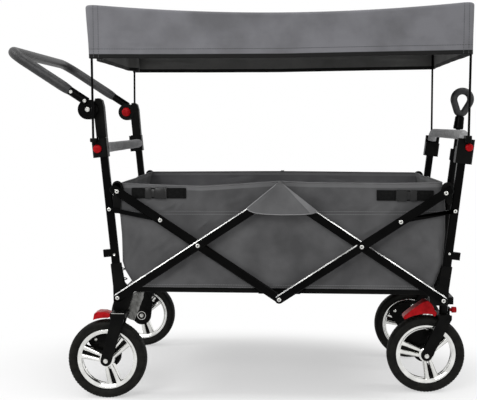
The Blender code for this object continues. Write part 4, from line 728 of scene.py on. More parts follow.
# The floor: two stiff boards hinged on the end crossbars and a slat between them, black like the other
# mouldings, which carry the basket and fold up inside it. The strips of cloth that close the gaps beside
# the slat are a guess, drawn in the frame's black; they stay on the slat when the boards rise.
for node in ("rear_floor_board", "front_floor_board", "floor_centre_slat"):
    dressed(node, moulded_nylon, 0.0020, "plastic_black")
slat_low, slat_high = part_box("floor_centre_slat")
hinges = []
for board, side, edge_x in (("rear_floor_board", -1, slat_low.x), ("front_floor_board", 1, slat_high.x)):
    board_low, board_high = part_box(board)
    near_x = board_high.x if side < 0 else board_low.x
    spots = [(x, z, 0.0010) for x in (edge_x - side * 0.002, near_x + side * 0.002)
             for z in (slat_high.z - 0.0080, slat_high.z - 0.0020)]
    hinges.append((pressed_plate(lobed(spots, 48), slat_low.y + 0.0005, slat_high.y - 0.0005, 0.0005), True, True))
fit(surface("floor_hinge_cloths", hinges), powder_coat, carriers["floor_centre_slat"], "plastic_black")

# The basket: a tub of grey polyester Oxford cloth with a paler coated inside. It hangs by its rim
# between the bars, laced at its lower corners, and lies on the floor boards.
BASKET_HALF_X, BASKET_HALF_Y, BASKET_LOW = 0.400, 0.2692, 0.2808
RIM_X = np.array([-0.400, -0.326, -0.200, -0.099, 0.001, 0.075, 0.150, 0.298, 0.403])
RIM_Z = np.array([0.5450, 0.5420, 0.5385, 0.5450, 0.5520, 0.5490, 0.5485, 0.5476, 0.5500])
STITCH_HALF, STITCH_PITCH = 0.0007, 0.006


def woven(name, dark, light, thread="#808081", seams=(), edge_band=None, roughness=0.80):
    """Plain-woven polyester: two sets of yarns crossing, drawn about 2 mm apart to show. A seam is a
    row of stitches where the dot product of the coordinates with a direction has one of its values;
    the stitches are drawn 6 mm long to show. edge_band is the width, colour and cover of a band at UV y 0:
    the basket's folded edge, and painted shade along the canopy's hem."""
    made, tree, bsdf = finish_named(name, Roughness=roughness, IOR=1.45, Specular_IOR_Level=0.25,
                                    Sheen_Weight=0.10, Sheen_Roughness=0.5)
    colour = tint(tree, bsdf, grain(tree, 90, 4.0), dark, light)
    yarns = [grain(tree, 2.0, 1.0, stretch, "UV") for stretch in ((1, 0.12, 1), (0.12, 1, 1))]
    height = add(tree, "Math", {0: yarns[0].outputs[0], 1: yarns[1].outputs[0]}, operation="ADD").outputs[0]
    where = add(tree, "TexCoord")
    if edge_band:
        across = add(tree, "VectorMath", {0: where.outputs["UV"], 1: (0, 1, 0)}, operation="DOT_PRODUCT")
        width, hue, cover = edge_band
        fold = add(tree, "MapRange", {"Value": across.outputs["Value"], "From Min": width * 0.9, "From Max": width,
                                      "To Min": cover, "To Max": 0.0})
        colour = add(tree, "Mix", {0: fold.outputs[0], 6: colour, 7: tone(hue)}, data_type="RGBA").outputs[2]
    for space, across, along, places in seams:
        level = add(tree, "VectorMath", {0: where.outputs[space], 1: across}, operation="DOT_PRODUCT")
        run = add(tree, "VectorMath", {0: where.outputs[space], 1: along}, operation="DOT_PRODUCT")
        turns = add(tree, "Math", {0: run.outputs["Value"], 1: 2 * math.pi / STITCH_PITCH}, operation="MULTIPLY")
        wave = add(tree, "Math", {0: turns.outputs[0]}, operation="SINE")
        dash = add(tree, "Math", {0: wave.outputs[0], 1: -0.6}, operation="GREATER_THAN")
        for place in places:
            line = add(tree, "Math", {0: level.outputs["Value"], 1: place, 2: STITCH_HALF}, operation="COMPARE")
            stitch = add(tree, "Math", {0: line.outputs[0], 1: dash.outputs[0]}, operation="MULTIPLY")
            colour = add(tree, "Mix", {0: stitch.outputs[0], 6: colour, 7: tone(thread)},
                         data_type="RGBA").outputs[2]
            height = add(tree, "Math", {0: stitch.outputs[0], 1: 4.0, 2: height},
                         operation="MULTIPLY_ADD").outputs[0]
    tree.links.new(colour, bsdf.inputs["Base Color"])
    emboss(tree, bsdf, height, 0.10)
    return made


def thickened(piece, thickness, lined=False):
    """Gives a sheet of cloth its thickness, inwards; a lined one shows its second material inside."""
    shell = piece.modifiers.new("cloth", "SOLIDIFY")
    shell.thickness = thickness
    shell.offset = -1
    if lined:
        shell.material_offset = 1


# Oxford cloth: matt and softly mottled, with a faint sheen from its fibres. The coated inside, the
# binding, the piping, the flaps and the tabs are the same weave in lighter greys.
SIDE_SEAMS = [("Object", (-0.004, 0, 1), (1, 1, 0), (0.4692, 0.4768, 0.2830, 0.2895))]
basket_cloth = woven("oxford_cloth_grey", "#424243", "#555556", "#6e6e6f", SIDE_SEAMS, (0.011, "#6e6e6f", 0.55))
basket_lining = woven("coated_cloth_inside", "#5e5e60", "#727274", "#4a4a4b", (), (0.010, "#8a8a8b", 0.5))
basket_binding = woven("grey_binding_tape", "#5a5a5b", "#6a6a6b")
flap_piping_tape = woven("light_piping_tape", "#7a7a7b", "#8c8c8d")
flap_band_cloth = woven("folded_flap_edge", "#666667", "#767677")
flap_cloth = woven("oxford_cloth_flap", "#4e4e4f", "#626263")
tab_cloth = woven("creased_cover_cloth", "#72726f", "#989896")


def fold_ridges(x, z, folds):
    """Soft creases: each is a line from x0, z0 to x1, z1, and the cloth rises by its height beside it
    as a bell curve of its width, fading towards the line's ends."""
    total = np.zeros(np.broadcast(x, z).shape)
    for x0, z0, x1, z1, width, height in folds:
        length = math.hypot(x1 - x0, z1 - z0)
        ux, uz = (x1 - x0) / length, (z1 - z0) / length
        along = (x - x0) * ux + (z - z0) * uz
        off = -(x - x0) * uz + (z - z0) * ux
        fade = np.clip(1 - np.abs(along / length - 0.5) * 2, 0, 1) ** 0.6
        total += height * fade * np.exp(-(off / width) ** 2)
    return total


SIDE_FOLDS = [(-0.240, 0.508, -0.315, 0.474, 0.006, 0.0026), (-0.215, 0.506, -0.190, 0.476, 0.006, 0.0018),
              (-0.165, 0.464, -0.205, 0.432, 0.006, 0.0026), (-0.262, 0.425, -0.318, 0.380, 0.007, 0.0026),
              (-0.350, 0.430, -0.388, 0.345, 0.008, 0.0028), (-0.225, 0.340, -0.275, 0.300, 0.008, 0.0022),
              (-0.060, 0.520, -0.150, 0.492, 0.008, 0.0026), (0.060, 0.522, 0.160, 0.500, 0.008, 0.0026),
              (0.230, 0.498, 0.150, 0.486, 0.006, 0.0024), (0.300, 0.500, 0.262, 0.470, 0.006, 0.0022),
              (0.255, 0.446, 0.200, 0.420, 0.007, 0.0020), (0.330, 0.440, 0.385, 0.370, 0.008, 0.0022),
              (0.140, 0.330, 0.210, 0.300, 0.008, 0.0018), (-0.030, 0.440, -0.090, 0.400, 0.010, 0.0020),
              (0.040, 0.440, 0.100, 0.396, 0.010, 0.0020), (0.380, 0.520, 0.350, 0.480, 0.006, 0.0022),
              (-0.255, 0.504, -0.285, 0.480, 0.0035, 0.0022), (-0.238, 0.502, -0.262, 0.478, 0.0035, 0.0022),
              (-0.200, 0.500, -0.186, 0.480, 0.0035, 0.0020), (-0.320, 0.506, -0.345, 0.486, 0.0035, 0.0018),
              (-0.150, 0.462, -0.176, 0.440, 0.0035, 0.0020), (-0.185, 0.448, -0.212, 0.424, 0.0035, 0.0020),
              (0.190, 0.500, 0.150, 0.481, 0.0035, 0.0022), (0.235, 0.500, 0.196, 0.480, 0.0035, 0.0022),
              (0.262, 0.502, 0.232, 0.482, 0.0035, 0.0020), (0.120, 0.466, 0.150, 0.446, 0.0040, 0.0018),
              (-0.300, 0.400, -0.330, 0.372, 0.0040, 0.0022), (-0.270, 0.392, -0.300, 0.364, 0.0040, 0.0022),
              (0.360, 0.470, 0.384, 0.420, 0.0045, 0.0022), (0.392, 0.440, 0.398, 0.360, 0.0050, 0.0024),
              (-0.120, 0.534, -0.200, 0.524, 0.0040, 0.0016), (0.100, 0.538, 0.180, 0.528, 0.0040, 0.0016)]
rng = np.random.default_rng(7)
CRUMPLE = [(rng.uniform(14, 70) * math.cos(a), rng.uniform(14, 60) * math.sin(a), rng.uniform(0, 6.3))
           for a in rng.uniform(0.2, 2.9, 14)]


def crumple(u, v):
    """Low random swells, a sum of sine waves in fixed directions, from about -1 to 1."""
    return sum(np.sin(a * u + b * v + phase) for a, b, phase in CRUMPLE) / len(CRUMPLE) ** 0.5 / 1.4


STRAP_MIDDLES, STRAP_INSET = (-0.304, 0.311), 0.0030


def side_inset(x, z):
    """How far the side cloth stands in from the frame: bellied a little, creased, never proud of it."""
    belly = 0.0054 + 0.0020 * crumple(x, z)
    under_strap = sum(np.exp(-((x - at) / 0.085) ** 6) for at in STRAP_MIDDLES) * np.exp(-((z - 0.5205) / 0.020) ** 4)
    seam = 0.0012 * (np.exp(-((z - 0.4735 - 0.003 * x) / 0.0024) ** 2) + np.exp(-((z - 0.2865) / 0.0026) ** 2))
    inset = np.clip(belly + seam - 1.7 * fold_ridges(x, z, SIDE_FOLDS), 0.0002, 0.0110)
    return inset + (STRAP_INSET - inset) * under_strap


def ring_directions(long_steps, short_steps, corner_steps):
    """A rounded rectangle walked once round: for each point its share of the two half sides and its
    direction on the corner's round, starting in the middle of the near side."""
    long_side, short_side = np.linspace(-1, 1, long_steps), np.linspace(-1, 1, short_steps)
    quarter = np.linspace(0, np.pi / 2, corner_steps)[1:-1]
    rows = []
    for number, (steps, side) in enumerate(((long_side, 0), (short_side, 1), (long_side, 2), (short_side, 3))):
        turn = number * np.pi / 2
        c, s = round(math.cos(turn)), round(math.sin(turn))
        straight = np.stack([steps, -np.ones_like(steps), np.zeros_like(steps), -np.ones_like(steps)], 1)
        corner = np.stack([np.ones_like(quarter), -np.ones_like(quarter), np.sin(quarter), -np.cos(quarter)], 1)
        both = np.concatenate([straight, corner])
        turned_part = np.stack([c * both[:, 0] - s * both[:, 1], s * both[:, 0] + c * both[:, 1],
                                c * both[:, 2] - s * both[:, 3], s * both[:, 2] + c * both[:, 3]], 1)
        rows.append(turned_part)
    return np.concatenate(rows)


ring = ring_directions(150, 84, 8)
CORNER, BOTTOM_ROUND = 0.020, 0.006
wall_share = np.linspace(0, 1, 66)
# At each height: half the tub's length, and how much further its front end stands out
wall_half_x = np.array([[0.2806, 0.3720], [0.2980, 0.3835], [0.3250, 0.3990], [0.3466, 0.4050], [0.4156, 0.4055],
                        [0.4600, 0.4080], [0.4800, 0.4110], [0.5200, 0.4110], [0.5500, 0.4050]])
FRONT_LONGER = np.array([[0.2806, 0.0150], [0.3210, 0.0065], [0.4210, 0.0110], [0.4600, 0.0070], [0.5000, 0.0030],
                         [0.5500, 0.0020]])


def tub_wall():
    """The wall from its rim down: each height's rounded rectangle, drawn in by creases."""
    across = ring[:, 0]
    top = np.interp(across * BASKET_HALF_X, RIM_X, RIM_Z)
    far = ring[:, 1] > 0
    top = np.where(far, 0.5478 + 0.0012 * np.cos(across * 3), top)
    z = top[None, :] + (BASKET_LOW + BOTTOM_ROUND - top[None, :]) * wall_share[:, None]
    half_x = np.interp(z, wall_half_x[:, 0], wall_half_x[:, 1])
    half_x = half_x + np.interp(z, FRONT_LONGER[:, 0], FRONT_LONGER[:, 1]) * (ring[:, 0] > 0)
    x = ring[:, 0] * (half_x - CORNER) + CORNER * ring[:, 2]
    y = ring[:, 1] * (BASKET_HALF_Y - CORNER) + CORNER * ring[:, 3]
    inset = side_inset(x * np.sign(-ring[:, 1] + 0.5 * (ring[:, 1] == 0)), z)
    y = y - np.sign(ring[:, 3]) * np.abs(ring[:, 3]) * inset
    end_in = 0.0030 + 0.0016 * crumple(y * 1.4, z) + fold_ridges(y, z, [(-0.2, 0.40, -0.05, 0.52, 0.012, 0.0030),
                                                                       (0.2, 0.40, 0.05, 0.52, 0.012, 0.0030),
                                                                       (-0.15, 0.34, 0.12, 0.36, 0.012, 0.0025)])
    x = x - np.sign(ring[:, 2]) * np.abs(ring[:, 2]) * end_in
    return x, y, z


wall_x, wall_y, wall_z = tub_wall()
fall = np.linspace(0, 1, 7)[1:]
turn = fall * np.pi / 2
edge_x, edge_y = wall_x[-1], wall_y[-1]
edge_len = np.hypot(edge_x, edge_y)
round_in = BOTTOM_ROUND * (1 - np.cos(turn))[:, None]
round_x = edge_x * (1 - round_in / edge_len)
round_y = edge_y * (1 - round_in / edge_len)
round_z = wall_z[-1] - BOTTOM_ROUND * np.sin(turn)[:, None]
bottom_share = (1 - np.linspace(0, 1, 26)[1:])[:, None]
bottom_x, bottom_y = round_x[-1] * bottom_share, round_y[-1] * bottom_share
bottom_z = np.broadcast_to(round_z[-1] + 0.0004, bottom_x.shape)
tub_x = np.concatenate([wall_x, round_x, bottom_x])
tub_y = np.concatenate([wall_y, round_y, bottom_y])
tub_z = np.concatenate([wall_z, round_z, bottom_z])
tub = np.stack([MID + tub_x, tub_y, tub_z], 2)
# The cloth's UV runs in metres: u round the tub at a row near its middle height, v down a column of
# its near side
UV_ROW, UV_COLUMN = 40, 75
u_run, v_run = walked(np.concatenate([tub[UV_ROW], tub[UV_ROW][:1]])), walked(tub[:, UV_COLUMN])
tub_uv = np.stack(np.broadcast_arrays(u_run[None, :], v_run[:, None]), 2)
basket = surface("basket_tub", [(tub[:, ::-1], True, False)], closed=False, cloth=[tub_uv])
thickened(basket, 0.0016, True)
fit(basket, basket_cloth, "basket", "basket_fabric", "basket")
basket.data.materials.append(basket_lining)
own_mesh(basket)


def rope(points, radius, hint, closed=False, steps=12):
    """A round cord along any route; hint is a direction that the route never takes."""
    points = np.array(points, float)
    way = np.roll(points, -1, 0) - np.roll(points, 1, 0) if closed else np.gradient(points, axis=0)
    way /= np.linalg.norm(way, axis=1)[:, None]
    across = np.cross(np.array(hint, float), way)
    across /= np.linalg.norm(across, axis=1)[:, None]
    up = np.cross(way, across)
    ring = circle(radius, steps)
    grid = points[:, None, :] + ring[None, :, :1] * across[:, None, :] + ring[None, :, 1:] * up[:, None, :]
    return (np.concatenate([grid, grid[:1]]), True, False) if closed else (grid, True, True)


def on_basket(piece, finish, slot):
    """Fixes a piece to the basket's cloth: it moves with it."""
    fit(piece, finish, "basket", slot)
    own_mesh(piece)
    return piece


# The basket's rim binding: a folded tape of the same cloth, sewn round the top edge. It shows as a thin
# round lip that runs along the rim, a little proud of the cloth.
rim_line = tub[0] + np.array((0, 0, 0.0004)) - 0.0008 * np.stack([ring[:, 2], ring[:, 3], 0 * ring[:, 2]], 1)
keep = np.concatenate([[True], np.linalg.norm(np.diff(rim_line, axis=0), axis=1) > 1e-5])
rim_line = evenly(np.concatenate([rim_line[keep], rim_line[:1]]), 701)[:-1]
on_basket(surface("basket_rim_binding", [rope(rim_line, 0.0021, (0, 0, 1), True)]), basket_binding, "basket_fabric")

# The flaps: on each side a tongue of the basket's cloth hangs over the bars' middle crossing, sewn into
# the rim, with its right edge folded over and a piping round the rest.
FLAP_EDGE = np.array([(0.0, -0.0800, 0.4880), (0.06, -0.0745, 0.4815), (0.15, -0.0610, 0.4765),
                      (0.30, -0.0350, 0.4735), (0.5, 0.0040, 0.4722), (0.75, 0.0520, 0.4730),
                      (0.90, 0.0800, 0.4752), (0.97, 0.0900, 0.4785), (1.0, 0.0930, 0.4830)])
FLAP_OVER, FLAP_RIDGE, FLAP_FACE = 0.16, 0.5450, 0.2956
FLAP_ROOT_Y, FLAP_ROOT_Z, FLAP_WIDE, FLAP_LONG = 0.2686, 0.5522, 0.17, 0.09
FLAP_FOLDS = [(-0.010, 0.540, -0.062, 0.486, 0.0070, 0.0022), (0.010, 0.540, 0.070, 0.486, 0.0075, 0.0024),
              (-0.030, 0.500, 0.040, 0.480, 0.0080, 0.0012), (0.004, 0.535, 0.010, 0.480, 0.0090, 0.0010)]


def flap_points(share, down, side, proud=0.0):
    """The tongue: out from the rim over the bars on its first stretch, then hanging as a fan that widens
    from its narrow top to its curved lower edge, lifted by soft folds."""
    low_x = np.interp(share, FLAP_EDGE[:, 0], FLAP_EDGE[:, 1])
    low_z = np.interp(share, FLAP_EDGE[:, 0], FLAP_EDGE[:, 2])
    top_x = -0.004 + 0.010 * share
    over = np.clip(down / FLAP_OVER, 0, 1)
    fall = np.clip((down - FLAP_OVER) / (1 - FLAP_OVER), 0, 1)
    x = top_x + (low_x - top_x) * np.clip((down - 0.08) / 0.92, 0, 1)
    z = np.where(down < FLAP_OVER, FLAP_ROOT_Z + (FLAP_RIDGE - FLAP_ROOT_Z) * over ** 1.5,
                 FLAP_RIDGE + (low_z - FLAP_RIDGE) * fall)
    y = (FLAP_ROOT_Y + (FLAP_FACE - FLAP_ROOT_Y) * np.sin(over * np.pi / 2) + fold_ridges(x, z, FLAP_FOLDS)
         + proud)
    y = y + 0.0012 * np.sin(np.pi * fall)
    return np.stack([MID + x, side * y, z], -1)


flap_share, flap_down = np.meshgrid(np.linspace(0, 1, 90), np.linspace(0, 1, 70))
band_share, band_down = np.meshgrid(np.linspace(0.885, 1.0, 10), np.linspace(0.14, 1.0, 50))
for word, side in HANDS.items():
    way = -1 if side > 0 else 1
    grid = flap_points(flap_share, flap_down, side)[:, ::way]
    flap_uv = np.stack([flap_share * FLAP_WIDE, (1 - flap_down) * FLAP_LONG], 2)[:, ::way]
    flap = surface(f"basket_flap_{word}", [(grid, False, False)], closed=False, cloth=[flap_uv])
    thickened(flap, 0.0012)
    on_basket(flap, flap_cloth, "basket_fabric")
    band = flap_points(band_share, band_down, side, 0.0008)[:, ::way]
    band_uv = np.stack([band_share * FLAP_WIDE, (1 - band_down) * FLAP_LONG], 2)[:, ::way]
    fold = surface(f"basket_flap_fold_{word}", [(band, False, False)], closed=False, cloth=[band_uv])
    thickened(fold, 0.0010)
    on_basket(fold, flap_band_cloth, "basket_fabric")
    left_edge = flap_points(np.zeros(40), np.linspace(0.10, 1, 40), side)
    low_edge = flap_points(np.linspace(0, 1, 90), np.ones(90), side)
    piping = rope(evenly(np.concatenate([left_edge, low_edge[1:]]), 160), 0.0014, (0, 1, 0))
    on_basket(surface(f"basket_flap_piping_{word}", [piping]), flap_piping_tape, "basket_fabric")

# The side straps: black webbing sewn flat to the basket near each corner, with a side-release buckle
# of moulded acetal that ties the folded wagon together.

# Woven polypropylene: matt black with ribs along the tape, drawn 2.4 mm apart to show
webbing, tree, bsdf = finish_named("polypropylene_webbing", Roughness=0.62, IOR=1.49, Specular_IOR_Level=0.06)
tint(tree, bsdf, grain(tree, 6), "#080808", "#131313")
where = add(tree, "TexCoord")
rib_lines = add(tree, "TexWave", {"Vector": where.outputs["Object"], "Scale": 2 * math.pi / (20 * 0.0024)},
                bands_direction="Z")
emboss(tree, bsdf, rib_lines.outputs[1], 0.25)
# Acetal: a slippery half-gloss black
buckle_acetal = plain("moulded_black_acetal", "#0f0f0f", "#191919", 30,
                      Roughness=0.30, IOR=1.48, Specular_IOR_Level=0.30)


def slab(x0, x1, z0, z1, near, far, side, corner=0.0015, edge=0.0006):
    """A flat block between two x, two z and two distances from the middle, with rounded corners."""
    low_x, high_x = min(x0, x1) + corner, max(x0, x1) - corner
    spots = [(MID + px, pz, corner) for px in (low_x, high_x) for pz in (z0 + corner, z1 - corner)]
    return (pressed_plate(lobed(spots, 48), side * near, side * far, edge), True, True)


STRAPS = {"rear": (-0.373, -0.235, -0.339, -0.283, 0.5090, 0.5355),
          "front": (0.381, 0.241, 0.340, 0.288, 0.5060, 0.5320)}
STRAP_NEAR, STRAP_FAR = 0.2664, 0.2700
for end, (outer, inner_end, buckle_out, buckle_in, low_z, high_z) in STRAPS.items():
    way = 1 if buckle_in > buckle_out else -1
    middle_z, half = (low_z + high_z) / 2, (high_z - low_z) / 2
    # The buckle's base, its two prongs' bridge, its socket and its release rib: two x, half a height,
    # two distances from the middle, corner and edge
    blocks = [(buckle_out, buckle_out + way * 0.017, half + 0.001, 0.2690, 0.2730, 0.003, 0.0012),
              (buckle_out + way * 0.015, buckle_in - way * 0.010, half * 0.80, 0.2690, 0.2722, 0.003, 0.0012),
              (buckle_out + way * 0.024, buckle_in, half + 0.0012, 0.2690, 0.2736, 0.004, 0.0015),
              (buckle_in - way * 0.006, buckle_in - way * 0.001, half, 0.2696, 0.2742, 0.0015, 0.0008)]
    for word, side in HANDS.items():
        strap = slab(outer, inner_end, low_z, high_z, STRAP_NEAR, STRAP_FAR, side)
        on_basket(surface(f"{end}_strap_{word}", [strap]), webbing, "plastic_black")
        parts = [slab(x0, x1, middle_z - tall, middle_z + tall, near, far, side, corner, edge)
                 for x0, x1, tall, near, far, corner, edge in blocks]
        on_basket(surface(f"{end}_buckle_{word}", parts), buckle_acetal, "plastic_black")

# The corner lacing: loops of black cord that tie the basket's lower corners to the posts, two above
# each other at every corner. They show as small teeth at the cloth's edge.
LOOPS = [(-0.4045, 0.327, 0.0100), (-0.4000, 0.302, 0.0110), (0.4130, 0.335, 0.0100), (0.4070, 0.309, 0.0110)]
angle = np.linspace(0, 2 * np.pi, 40, endpoint=False)
laces = []
for x, z, reach in LOOPS:
    for side in (-1, 1):
        lace = np.stack([MID + x + reach * np.cos(angle), side * (0.2585 + 0.0045 * np.sin(angle)),
                         z + 0.0035 * np.sin(angle)], 1)
        laces.append(rope(lace, 0.0013, (0.1, 0.2, 1), True, 10))
on_basket(surface("basket_corner_laces", laces), webbing, "plastic_black")

# The rear tabs: short folded tongues of the basket's cloth that hang crumpled from the rear crossbar
# behind each rear leg. What they are for is a guess: holding a rolled-up cover.
tab_share, tab_down = np.meshgrid(np.linspace(0, 1, 40), np.linspace(0, 1, 50))
for word, side in HANDS.items():
    x = (-0.348 - 0.034 * tab_share) + (-0.026 + 0.004 * tab_share) * tab_down ** 1.3
    z = 0.2655 - (0.076 - 0.016 * tab_share) * tab_down - 0.003 * tab_share
    sway = (0.0026 * np.sin(9 * tab_share + 3 * tab_down) + 0.0020 * np.sin(15 * tab_down - 4 * tab_share)
            + 0.0014 * np.sin(31 * tab_down + 11 * tab_share))
    way = -1 if side > 0 else 1
    grid = np.stack([MID + x, side * (0.2415 + sway), z], 2)[:, ::-way]
    uv = np.stack([tab_share * 0.03, tab_down * 0.08], 2)[:, ::-way]
    tab = surface(f"rear_tab_{word}", [(grid, False, False)], closed=False, cloth=[uv])
    thickened(tab, 0.0020)
    fit(tab, tab_cloth, "root", "basket_fabric")

# The canopy: one sheet of lighter grey cloth over two wire bows, with a hanging edge all round.
# The bows are 6 mm spring steel, black, and stand in the collars and clamps.
BOW_LOW_Y, BOW_HIGH_Y, BOW_TURN, BOW_RADIUS = 0.3015, 0.3100, 0.016, 0.0030
for end, body in (("rear", "root"), ("front", "front_frame")):
    low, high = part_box(end + "_canopy_bow")
    corner = bend((-BOW_HIGH_Y + BOW_TURN, high.z - BOW_RADIUS - BOW_TURN), BOW_TURN, 180, 90, 12)
    half = np.concatenate([[(-BOW_LOW_Y, low.z)], corner])
    flat = evenly(np.concatenate([half, half[::-1] * (-1, 1)]), 200)
    path = np.insert(flat, 0, (low.x + high.x) / 2, axis=1)
    bow = [(carried(path, (1, 0, 0), circle(BOW_RADIUS, 16)), True, True)]
    fit(surface(end + "_bow_wire", bow), powder_coat, body, "frame_black", end + "_canopy_bow")

# The basket's weave in a lighter grey with painted shade, a black band, along the hem; its underside is a little
# darker
CANOPY_SEAMS = [("UV", (0, 1, 0), (1, 0, 0), (0.0225,)),
                ("Object", (1, 0, 0), (0, 1, 1), (MID - 0.455, MID - 0.443, MID + 0.4385, MID + 0.4505))]
# A black band along the hem, inside and out: painted shade
CANOPY_HEM_SHADE = (0.0108, "#0b0b0b", 1.0)
canopy_cloth = woven("canopy_cloth_grey", "#606063", "#707074", "#4a4a4c", CANOPY_SEAMS, CANOPY_HEM_SHADE)
canopy_under = woven("canopy_cloth_underside", "#545453", "#60605f", "#4a4a4c", (), CANOPY_HEM_SHADE)
CANOPY_HALF_X, CANOPY_MID_X, CANOPY_HALF_Y, CANOPY_TOP, CANOPY_SAG = 0.46575, MID - 0.00225, 0.3200, 0.9850, 0.0205
HEM_X = np.array([-0.47, -0.24, 0.0, 0.22, 0.47])
HEM_Z = np.array([0.8560, 0.8553, 0.8555, 0.8590, 0.8625])
CANOPY_ROUND = 0.0075
CORNER_PULL = 0.0080
OVER_BOW = 0.0200
# Two pleats in the rear edge leave room for the push handle's legs when it is pulled up
PLEAT_AT, PLEAT_WIDE, PLEAT_DEEP = 0.270, 0.034, 0.0260
canopy_ring = ring_directions(170, 100, 8)
PLAN_CORNER = 0.012


def canopy_top(x):
    """The height of the cloth's top: level over the bows and sagging between them."""
    return CANOPY_TOP - CANOPY_SAG * np.clip(1 - (x / (CANOPY_HALF_X - OVER_BOW)) ** 2, 0, 1)


CANOPY_FOLDS = [(-0.40, 0.925, -0.30, 0.920, 0.006, 0.0026), (-0.44, 0.905, -0.33, 0.899, 0.005, 0.0022),
                (-0.38, 0.888, -0.27, 0.884, 0.005, 0.0024), (-0.43, 0.882, -0.36, 0.879, 0.004, 0.0018),
                (-0.20, 0.905, -0.08, 0.899, 0.006, 0.0024), (-0.15, 0.935, -0.02, 0.928, 0.007, 0.0024),
                (0.02, 0.940, 0.18, 0.925, 0.008, 0.0026), (0.10, 0.905, 0.24, 0.898, 0.006, 0.0022),
                (0.22, 0.935, 0.36, 0.948, 0.007, 0.0024), (0.28, 0.900, 0.42, 0.892, 0.005, 0.0020),
                (0.38, 0.925, 0.45, 0.940, 0.006, 0.0020), (-0.26, 0.945, -0.34, 0.962, 0.007, 0.0022)]


def canopy_grid():
    """Rings of the sheet from the middle of its top outwards, over a rounded edge and down to the hem."""
    spread = (np.linspace(0, 1, 30) ** 0.85)[:, None]
    full_x = canopy_ring[:, 0] * (CANOPY_HALF_X - PLAN_CORNER) + PLAN_CORNER * canopy_ring[:, 2]
    full_y = canopy_ring[:, 1] * (CANOPY_HALF_Y - PLAN_CORNER) + PLAN_CORNER * canopy_ring[:, 3]
    keep = 1 - CANOPY_ROUND / np.hypot(full_x, full_y)
    top_x, top_y = full_x * keep * spread, full_y * keep * spread
    top_z = canopy_top(top_x) - 0.0012 * (1 - np.abs(top_y) / CANOPY_HALF_Y) * (crumple(top_x, top_y) + 1)
    turn = (np.linspace(0, np.pi / 2, 6)[1:])[:, None]
    edge_x = full_x * (keep + (1 - keep) * np.sin(turn))
    edge_y = full_y * (keep + (1 - keep) * np.sin(turn))
    edge_z = canopy_top(full_x) - CANOPY_ROUND * (1 - np.cos(turn))
    drop = np.linspace(0, 1, 44)[1:, None]
    hem = np.interp(full_x, HEM_X, HEM_Z)
    high = edge_z[-1]
    side_z = high + (hem - high) * drop
    long_share = np.clip(1 - (full_x / CANOPY_HALF_X) ** 2, 0, 1)
    wave = 0.0026 * (1 + crumple(full_x * 1.3 + canopy_ring[:, 1] * 3, side_z * 0.8)) * drop ** 0.7 * long_share ** 0.5
    slack = 0.0032 * np.sin(np.pi * drop) * long_share + 0.8 * fold_ridges(full_x, side_z, CANOPY_FOLDS)
    side_y = full_y - np.sign(canopy_ring[:, 3]) * np.abs(canopy_ring[:, 3]) * (wave + slack)
    across_share = np.clip(1 - (full_y / CANOPY_HALF_Y) ** 2, 0, 1)
    end_wave = 0.0030 * (1 + crumple(full_y * 1.3, side_z)) * drop ** 0.7 * across_share ** 0.5
    pleat = np.exp(-((np.abs(full_y) - PLEAT_AT) / PLEAT_WIDE) ** 4) * np.clip(drop / 0.7, 0, 1) ** 1.5 * (full_x < 0)
    end_wave = end_wave + PLEAT_DEEP * pleat
    side_x = full_x - np.sign(canopy_ring[:, 2]) * np.abs(canopy_ring[:, 2]) * end_wave
    x = np.concatenate([top_x, edge_x, np.broadcast_to(side_x, side_z.shape)])
    pulled = np.concatenate([spread ** 6 + 0 * top_x, 1 + 0 * edge_x, 1 - 0.6 * drop + 0 * side_z])
    corner = np.clip((np.abs(full_y) / CANOPY_HALF_Y - 0.80) / 0.18, 0, 1) ** 2
    x = x - CORNER_PULL * pulled * np.clip(-full_x / CANOPY_HALF_X, 0, 1) ** 6 * (0.4 + 0.6 * corner)
    y = np.concatenate([top_y, edge_y, side_y])
    z = np.concatenate([top_z, edge_z, side_z])
    deep = high - hem
    up_top = deep + 0.012 + CANOPY_HALF_Y * (1 - spread)
    up_edge = deep + 0.012 * (1 - turn * 2 / np.pi)
    up = np.concatenate([up_top, up_edge, deep * (1 - drop)])
    return np.stack([CANOPY_MID_X + x, y, z], 2), up


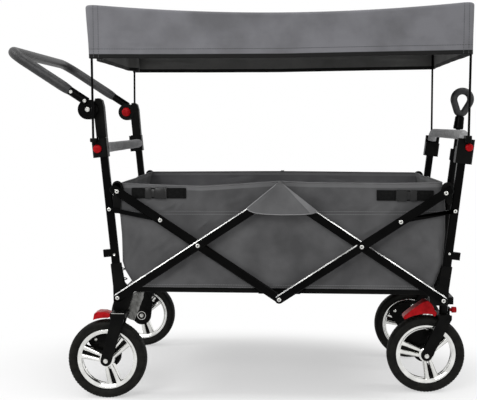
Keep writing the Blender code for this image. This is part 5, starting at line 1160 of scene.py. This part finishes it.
canopy_points, above_hem = canopy_grid()
u_run = walked(np.concatenate([canopy_points[-1], canopy_points[-1][:1]]))
v_run = np.concatenate([above_hem, above_hem[:, :1]], 1)
canopy_uv = np.stack(np.broadcast_arrays(u_run[None, :], v_run), 2)
canopy = surface("canopy_cloth", [(canopy_points[:, ::-1], True, False)], closed=False, cloth=[canopy_uv[:, ::-1]])
thickened(canopy, 0.0014, True)
fit(canopy, canopy_cloth, "root", "canopy_fabric", "canopy")
canopy.data.materials.append(canopy_under)
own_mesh(canopy)

# The drawbar: a steel tube hinged in the front crossbar's lugs, with a rod that slides in it. The rod
# ends in a stepped block and a loop of charcoal foam for the hand.
dressed("drawbar_tube", powder_coat, 0.0010, "frame_black")
DRAWBAR_LEAN = 0.118
drawbar_foot = np.array(joints["drawbar_tilt"]["pos_m"])
drawbar_way = np.array((DRAWBAR_LEAN, 0, 1)) / math.hypot(1, DRAWBAR_LEAN)
drawbar_out = np.array((1, 0, -DRAWBAR_LEAN)) / math.hypot(1, DRAWBAR_LEAN)
rod_profile = [(0.0060, 0.0243), (0.0060, 0.4340), (0.0118, 0.4345), (0.0136, 0.4365), (0.0136, 0.4440),
               (0.0131, 0.4452), (0.0131, 0.4540), (0.0127, 0.4552), (0.0127, 0.4640), (0.0120, 0.4685),
               (0.0095, 0.4700)]
rod = turned(rod_profile, drawbar_foot, drawbar_way, 28)
low_radius, high_radius, low_s, high_s = 0.0110, 0.0225, 0.4885, 0.5165
tilt = math.degrees(math.asin((high_radius - low_radius) / (high_s - low_s)))
loop = np.concatenate([bend((0, high_s), high_radius, -tilt, 180 + tilt, 40),
                       bend((0, low_s), low_radius, 180 + tilt, 360 - tilt, 20)])
loop = evenly(np.concatenate([loop, loop[:1]]), 91)[:-1]
way = np.roll(loop, -1, 0) - np.roll(loop, 1, 0)
way /= np.linalg.norm(way, axis=1)[:, None]
around = circle(0.0095, 20)
across = np.stack([-way[:, 1], way[:, 0]], 1)
flat = loop[:, None, :] + around[None, :, :1] * across[:, None, :]
hand_loop = (drawbar_foot + flat[..., :1] * drawbar_out + flat[..., 1:] * drawbar_way
             + around[None, :, 1:] * np.array((0, 1, 0)))
hand_loop = np.concatenate([hand_loop, hand_loop[:1]])
fit(surface("drawbar_rod", [(rod, True, True)]), powder_coat, "drawbar_handle", "frame_black", "drawbar_handle")
fit(surface("drawbar_hand_loop", [(hand_loop, True, False)]), foam_charcoal, "drawbar_handle", "foam_dark")
